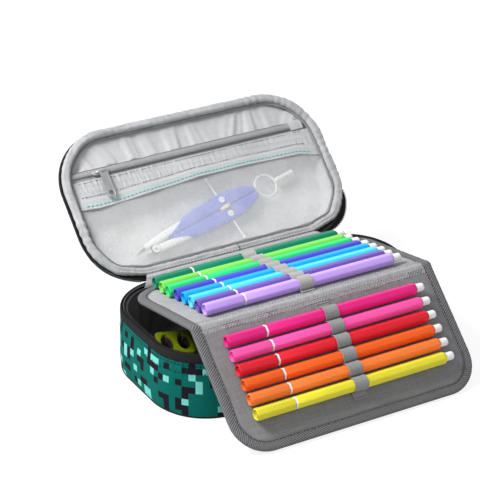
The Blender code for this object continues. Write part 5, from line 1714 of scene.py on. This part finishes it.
def make_elastic(name, leaf, places, middle, tabs, look):
    """One woven strip over a row of pens: an arc round each, tucked to the leaf between them."""
    places = np.sort(places)
    dip = math.asin((LOOP_FOOT - PEN_LEVEL) / LOOP_RADIUS)
    turn = np.linspace(math.pi - dip, dip, 25)
    first = places[0] - LOOP_RADIUS
    last = places[-1] + LOOP_RADIUS
    y = [[first - tabs[0], first - tabs[0] * 0.5, first - 0.2]]
    z = [[LEAF_TOP, 2.02, 2.05]]
    for number, pen_y in enumerate(places):
        if number:
            y.append([(places[number - 1] + pen_y) / 2])
            z.append([1.95])
        y.append(pen_y + LOOP_RADIUS * np.cos(turn))
        z.append(PEN_LEVEL + LOOP_RADIUS * np.sin(turn))
    y = np.concatenate(y + [[last + 0.2, last + tabs[1] * 0.5, last + tabs[1]]])
    z = np.concatenate(z + [[2.05, 2.02, LEAF_TOP]])
    path = np.stack([y, z])
    out_y, out_z = (unit(np.gradient(path, axis=1).T)[:, ::-1] * (-1, 1)).T[..., None]
    across = np.linspace(-1, 1, 25)[None]
    lift = 0.12 + 0.10 * (1 - np.abs(across) ** 4) + 0.12 * (np.abs(across) > 0.82)
    y, z = path[..., None]
    x = middle + LOOP_HALF * across + 0.10 * np.sin(y * 2.1 + 5) * np.sign(across)
    front = leaf.carry(x, y + out_y * lift, z + out_z * lift)
    skin = Skin().thick(front, leaf.carry(x, y - out_y * LOOP_DEEP, z - out_z * LOOP_DEEP))
    body = "flap_" + name
    stands_for = [body + "_elastic"]
    strip_piece = place(body + "_loops", skin, [look], body, stands_for, sharp=60)
    skin = Skin()
    for end in (y[0, 0] + 1.2, y[-1, 0] - 1.2):
        tacks = leaf.carry(middle + np.linspace(-4.6, 4.6, 13), end, 2.25)
        skin.stitches(tacks, leaf.direct(1, 0.5, 0), leaf.direct(0, 0, 1), 1.0, 0.36, 0.36)
    place(body + "_tacks", skin, [grey_thread], body)


def make_pens():
    """Both rows of pens, whose places down a leaf are shares of its length, and their elastics."""
    # Each row's elastic takes its own copy of one tape: the upper one painted lighter, the lower one painted
    # darker as shade.
    rows = (
        ("upper", UPPER, UPPER_PENS, upper_length, UPPER_SHARES, 17.8, 76.2, (1.6, 1.2), upper_band_painted_light),
        ("lower", LOWER, LOWER_PENS, lower_length, LOWER_SHARES, 17.7, 78.7, (4.5, 4.5), lower_band_painted_shade),
    )
    for name, leaf, pens, length, shares, inset, band_at, tabs, band in rows:
        start = inset - FLAP_HALF
        places = -length * np.array(shares)
        for pen, y in zip(pens, places):
            make_pen(pen, leaf, start + PUSHED.get(pen, 0.0), y)
        make_elastic(name, leaf, places, start + band_at, tabs, band)


# Floor, lights and camera

FLOOR_HALF = 6.0


def seen_by(graph, *kinds):
    """1 for rays of any of these kinds, and 0 for others."""
    rays = graph.node("LightPath").outputs
    seen = rays["Is Camera Ray"]
    for kind in kinds:
        seen = graph.math("MAXIMUM", seen, rays[kind])
    return seen


def make_floor():
    """A pale floor whose colour is white to the eye and keeps the case's shadow."""
    x, y = np.meshgrid([-FLOOR_HALF, FLOOR_HALF], [-FLOOR_HALF, FLOOR_HALF])
    floor = link("floor", Skin().add(np.stack([x, y, 0 * x], -1)).mesh("floor"))
    made = Finish("floor", Roughness=0.9, Base_Color=tone(196, 196, 198))
    seen = seen_by(made, "Is Transmission Ray", "Is Glossy Ray")
    pale = made.node("BsdfDiffuse", {"Color": (0.22, 0.22, 0.22, 1)})
    glow = made.node("Emission", {"Color": (1, 1, 1, 1), "Strength": 0.84})
    both = made.node("AddShader", {0: pale.outputs[0], 1: glow.outputs[0]})
    choice = made.node("MixShader", {0: seen, 1: made.shader.outputs[0], 2: both.outputs[0]})
    made.put(made.tree.nodes["Material Output"], 0, choice.outputs[0])
    floor.data.materials.append(made.material)


def make_world():
    """Even light all round, brighter where the eye sees it."""
    world = bpy.data.worlds.new("studio")
    world.use_nodes = True
    graph = Graph(world.node_tree)
    strength = graph.level(seen_by(graph, "Is Transmission Ray"), 0.0, 1.0, 0.42, 1.0)
    graph.feed(world.node_tree.nodes["Background"], Color=(1, 1, 1, 1), Strength=strength)
    bpy.context.scene.world = world


def lamp(name, place_at, aim, size, power):
    """A round lamp at a place, turned to shine at its aim."""
    light = bpy.data.lights.new(name, "AREA")
    light.shape = "DISK"
    light.size = size
    light.energy = power
    made = link(name, light)
    away = np.array(place_at) - np.array(aim)
    flat = math.hypot(away[0], away[1])
    made.location = place_at
    made.rotation_euler = (math.atan2(flat, away[2]), 0, math.atan2(away[1], away[0]) + math.pi / 2)


def make_lights_and_camera():
    """The key from the left, two fills, and the camera in front, to the left and above."""
    lamp("key", (-0.62, 0.20, 0.88), (0.02, 0.0, 0.04), 0.45, 14.0)
    lamp("front fill", (-0.55, -1.3, 0.9), (0, 0, 0.05), 1.2, 5.0)
    lamp("back fill", (0.9, 1.0, 0.9), (0, 0, 0.05), 1.2, 4.0)
    camera = bpy.data.cameras.new("camera")
    camera.sensor_width = 36
    camera.lens = 150.2
    made = link("camera", camera)
    made.location = (-0.6323, -1.0439, 0.6971)
    made.rotation_euler = (math.radians(63.42), 0, math.radians(-29.98))
    bpy.context.scene.camera = made
    bpy.context.scene.view_settings.view_transform = "Standard"


make_tub()
make_lid()
make_pocket()
make_pocket_slider()
make_pocket_pull()
make_case_pull()
make_compass_halves()
make_compass_rod()
make_compass_ring()
make_sharpener()
make_throats()
make_leaves()
make_fold()
make_fold_edges()
make_root()
make_spine()
make_gusset()
make_pens()
make_floor()
make_world()
make_lights_and_camera()
